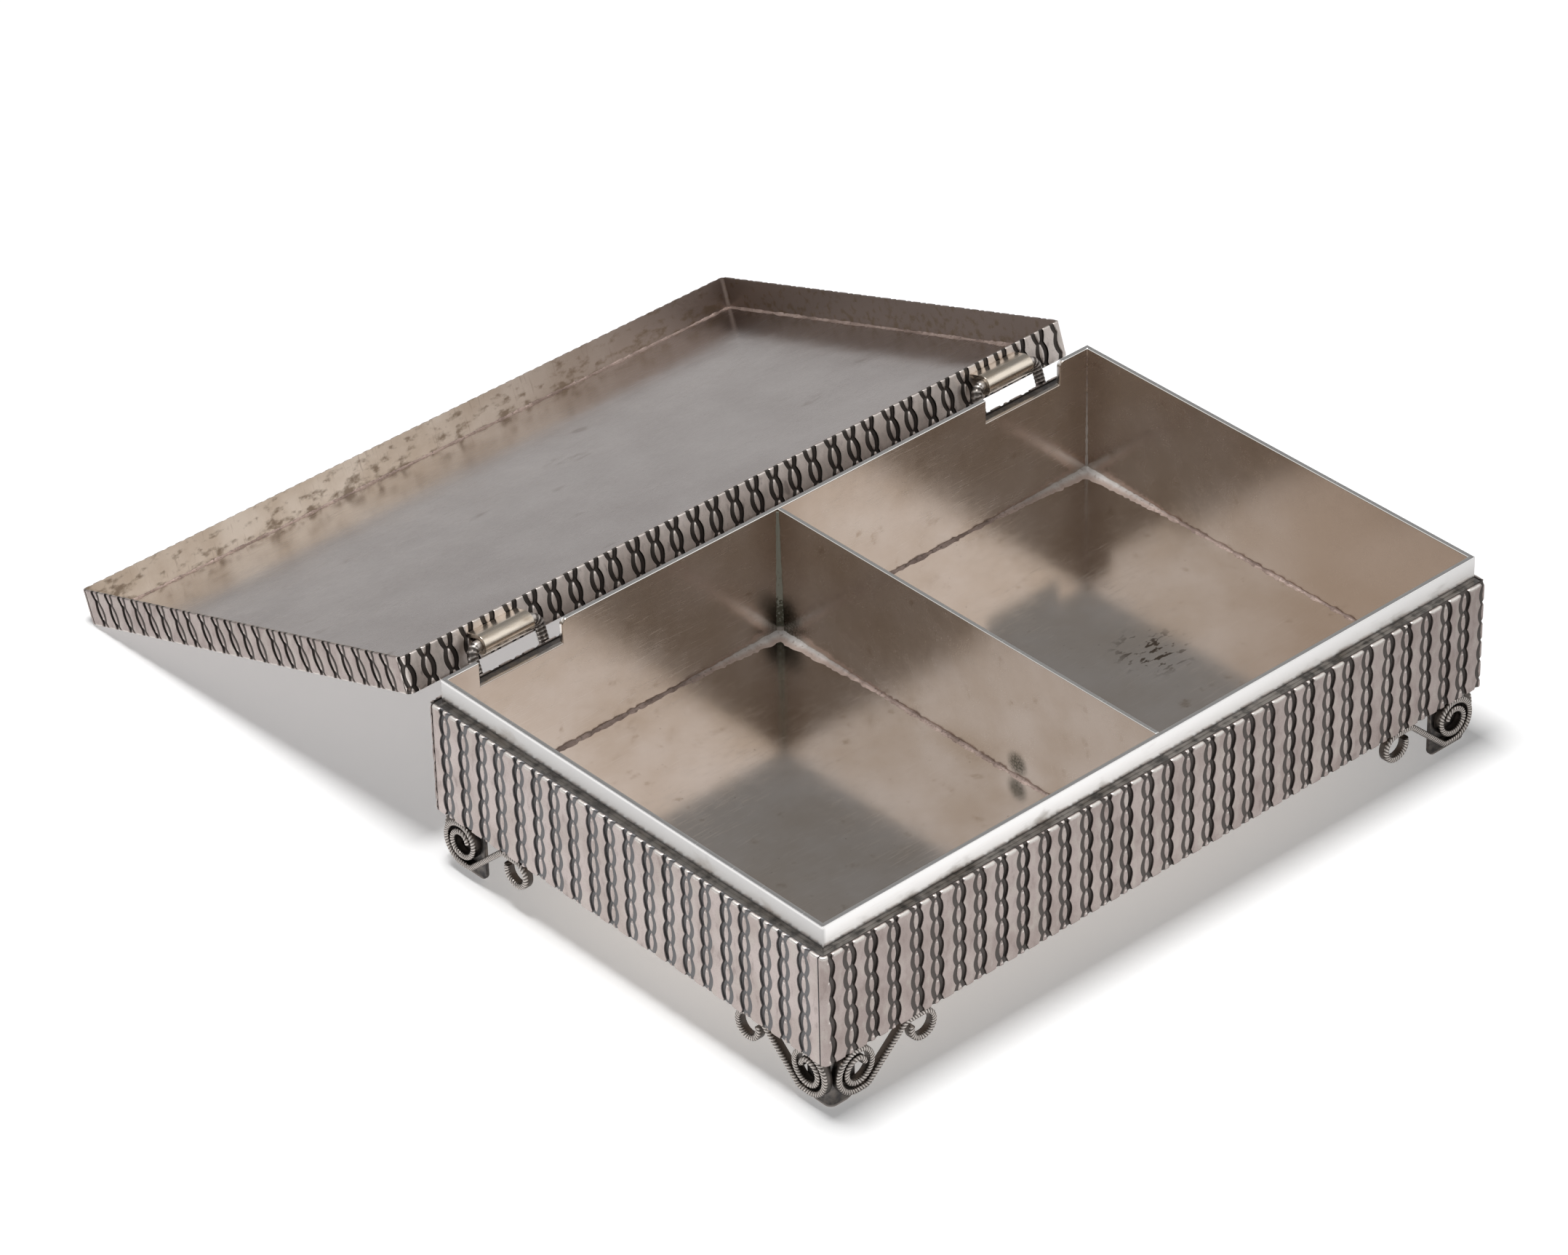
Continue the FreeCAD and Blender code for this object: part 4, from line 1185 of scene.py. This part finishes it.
def make_solder():
    material = solder_silver()
    draw = Random(SOLDER_SEED)
    wall = Vector((LINER_SHEET, LINER_SHEET, 0))
    inner_low, inner_high = liner_low + wall, liner_high - wall
    inner_high.z -= BELOW_RIM
    for side, left, right in (
        ("left", inner_low.x, divider_low.x), ("right", divider_high.x, inner_high.x),
    ):
        low = Vector((left, inner_low.y, inner_low.z))
        high = Vector((right, inner_high.y, inner_high.z))
        solder_loop(f"floor_solder_{side}", low, high, Z_AXIS, FLOOR_BEAD, "box", draw, material)
        solder_corners(f"corner_solder_{side}", low, high, CORNER_BEAD, draw, material)
    solder_loop("lid_solder", plate_low, plate_high, -Z_AXIS, LID_BEAD, "lid", draw, material)


def make_plain_parts():
    worn = liner_silver()
    dark = tarnished_silver()
    polished = barrel_silver()
    make_liner(worn)
    divider = softened_copy("divider", "divider_wall", DIVIDER_ROUND)
    finish_piece(divider, "box", "polished_silver", worn, "divider")
    for side in ("left", "right"):
        barrel = softened_copy(f"hinge_barrel_{side}", f"barrel_{side}", BARREL_ROUND)
        finish_piece(barrel, "lid", "warm_silver", polished, f"hinge_barrel_{side}")
    for corner in CORNERS:
        foot = softened_copy(f"corner_foot_{corner}", f"bent_foot_{corner}", FOOT_ROUND)
        finish_piece(foot, "box", "tarnished_silver", dark, f"corner_foot_{corner}")
    carried = {node: dark for node in LEDGE} | {"floor_plate": floor_silver(), "lid_plate": lid_silver()}
    for node, material in carried.items():
        kept = frame["nodes"][node]
        kept.data.materials.clear()
        kept.data.materials.append(material)


# Stage

CAMERA_PLACE = (-0.6046, -0.6938, 0.6446)
CAMERA_TURN = (55.413, 1.257, -42.101)
CAMERA_LENS = 148.84
TABLE_RADIUS = 6.0
TABLE_SIDES = 96
TABLE_WHITE = (0.9, 0.9, 0.9)
TABLE_GREY = (0.45, 0.45, 0.45)
TABLE_NEAR, TABLE_FAR = 0.5, 1.6
# what the white table glows of itself, which fills the shadow as the room does in the photo
TABLE_LIFT = 0.32
# the glow that the metal shows fades towards the right end of the box
GLOW_LEFT, GLOW_RIGHT = 0.0, 0.14
LAMP_PLACE = (-0.10, 0.10, 1.5)
LAMP_SIZE = 0.4
LAMP_WATTS = 19.5
# the room as the metal shows it: light panels right and left of the picture, dark before and behind
PANEL_WAY = (0.742, -0.671, 0.0)
BEHIND_WAY = (0.657, 0.753, 0.0)
RIGHT_PANEL, LEFT_PANEL = 1.1, 0.86
ROOM_BEHIND, ROOM_BEFORE = 0.25, 0.37
HORIZON_RIGHT, HORIZON_LEFT = 0.53, 0.19
ROOM_LIGHT = 0.02
# where the room changes, as a ray's height or its share of a way: from the horizon to the wall, along
# the horizon, from before to behind, and from the wall to a panel
WALL_FROM = (0.12, 0.36)
HORIZON_TURNS = (-0.5, -0.1)
ROOM_TURNS = (-0.5, 0.5)
PANEL_FROM = (0.35, 0.72)


def make_camera():
    bpy.ops.object.camera_add(location=CAMERA_PLACE, rotation=[radians(angle) for angle in CAMERA_TURN])
    camera = bpy.context.object
    camera.data.lens = CAMERA_LENS
    bpy.context.scene.camera = camera


def make_table():
    """A white table top that greys towards the room, its white held up for the eye and for the metal."""
    deselect()
    bpy.ops.mesh.primitive_circle_add(vertices=TABLE_SIDES, radius=TABLE_RADIUS, fill_type="NGON")
    table = start_piece("table_top")
    finish = Finish("table_white")
    near = finish.range(finish.measure("LENGTH", finish.coordinates), TABLE_NEAR, TABLE_FAR, 1.0, 0.0)
    lift = finish.times(near, TABLE_LIFT)
    path = finish.add("ShaderNodeLightPath").outputs
    shown = finish.plus(path["Is Glossy Ray"], path["Is Transmission Ray"], clamp=True)
    shown = finish.times(shown, finish.range(finish.x, GLOW_LEFT, GLOW_RIGHT, 1.0, 0.0))
    seen = finish.plus(path["Is Camera Ray"], shown, clamp=True)
    finish.set(
        Base_Color=finish.mix(near, TABLE_GREY, TABLE_WHITE),
        Roughness=1.0,
        Specular_IOR_Level=0.0,
        Emission_Color=(1.0, 1.0, 1.0),
        Emission_Strength=finish.times(seen, lift),
    )
    table.data.materials.append(finish.material)


def make_lamp():
    """One wide softbox almost straight above, so that the shadows stay under the pieces."""
    bpy.ops.object.light_add(type="AREA", location=LAMP_PLACE)
    lamp = bpy.context.object
    lamp.name = "overhead_softbox"
    lamp.data.size = LAMP_SIZE
    lamp.data.energy = LAMP_WATTS


def make_room():
    """A grey room for the metal to show, with little light of its own."""
    world = bpy.data.worlds.new("studio_room")
    world.use_nodes = True
    bpy.context.scene.world = world
    nodes = Nodes(world.node_tree)
    way = nodes.add("ShaderNodeTexCoord").outputs["Generated"]
    height = nodes.add("ShaderNodeSeparateXYZ", {"Vector": way}).outputs["Z"]
    across = nodes.measure("DOT_PRODUCT", way, PANEL_WAY)
    behind = nodes.measure("DOT_PRODUCT", way, BEHIND_WAY)
    upper = nodes.range(height, *WALL_FROM)
    horizon = nodes.range(across, *HORIZON_TURNS, HORIZON_LEFT, HORIZON_RIGHT)
    dark = nodes.range(behind, *ROOM_TURNS, ROOM_BEFORE, ROOM_BEHIND)
    grey = nodes.plus(horizon, nodes.times(upper, nodes.minus(dark, horizon)))
    for edge, panel in ((1, RIGHT_PANEL), (-1, LEFT_PANEL)):
        share = nodes.times(nodes.range(nodes.times(across, edge), *PANEL_FROM), upper)
        grey = nodes.plus(grey, nodes.times(share, nodes.minus(panel, grey)))
    path = nodes.add("ShaderNodeLightPath").outputs
    seen = nodes.plus(path["Is Camera Ray"], path["Is Glossy Ray"], clamp=True)
    seen = nodes.plus(seen, path["Is Transmission Ray"], clamp=True)
    shown = nodes.times(seen, nodes.minus(grey, ROOM_LIGHT))
    background = world.node_tree.nodes["Background"]
    nodes.feed(background.inputs["Strength"], nodes.plus(shown, ROOM_LIGHT))
    nodes.feed(background.inputs["Color"], (1.0, 1.0, 1.0))


make_camera()
make_table()
make_lamp()
make_room()
make_struck_sides()
corded = cord_silver()
make_scrolls(corded)
for hinge_side in ("left", "right"):
    make_loop(hinge_side, corded)
make_plain_parts()
make_ledge_step()
make_solder()

bpy.context.scene.view_settings.view_transform = "Standard"
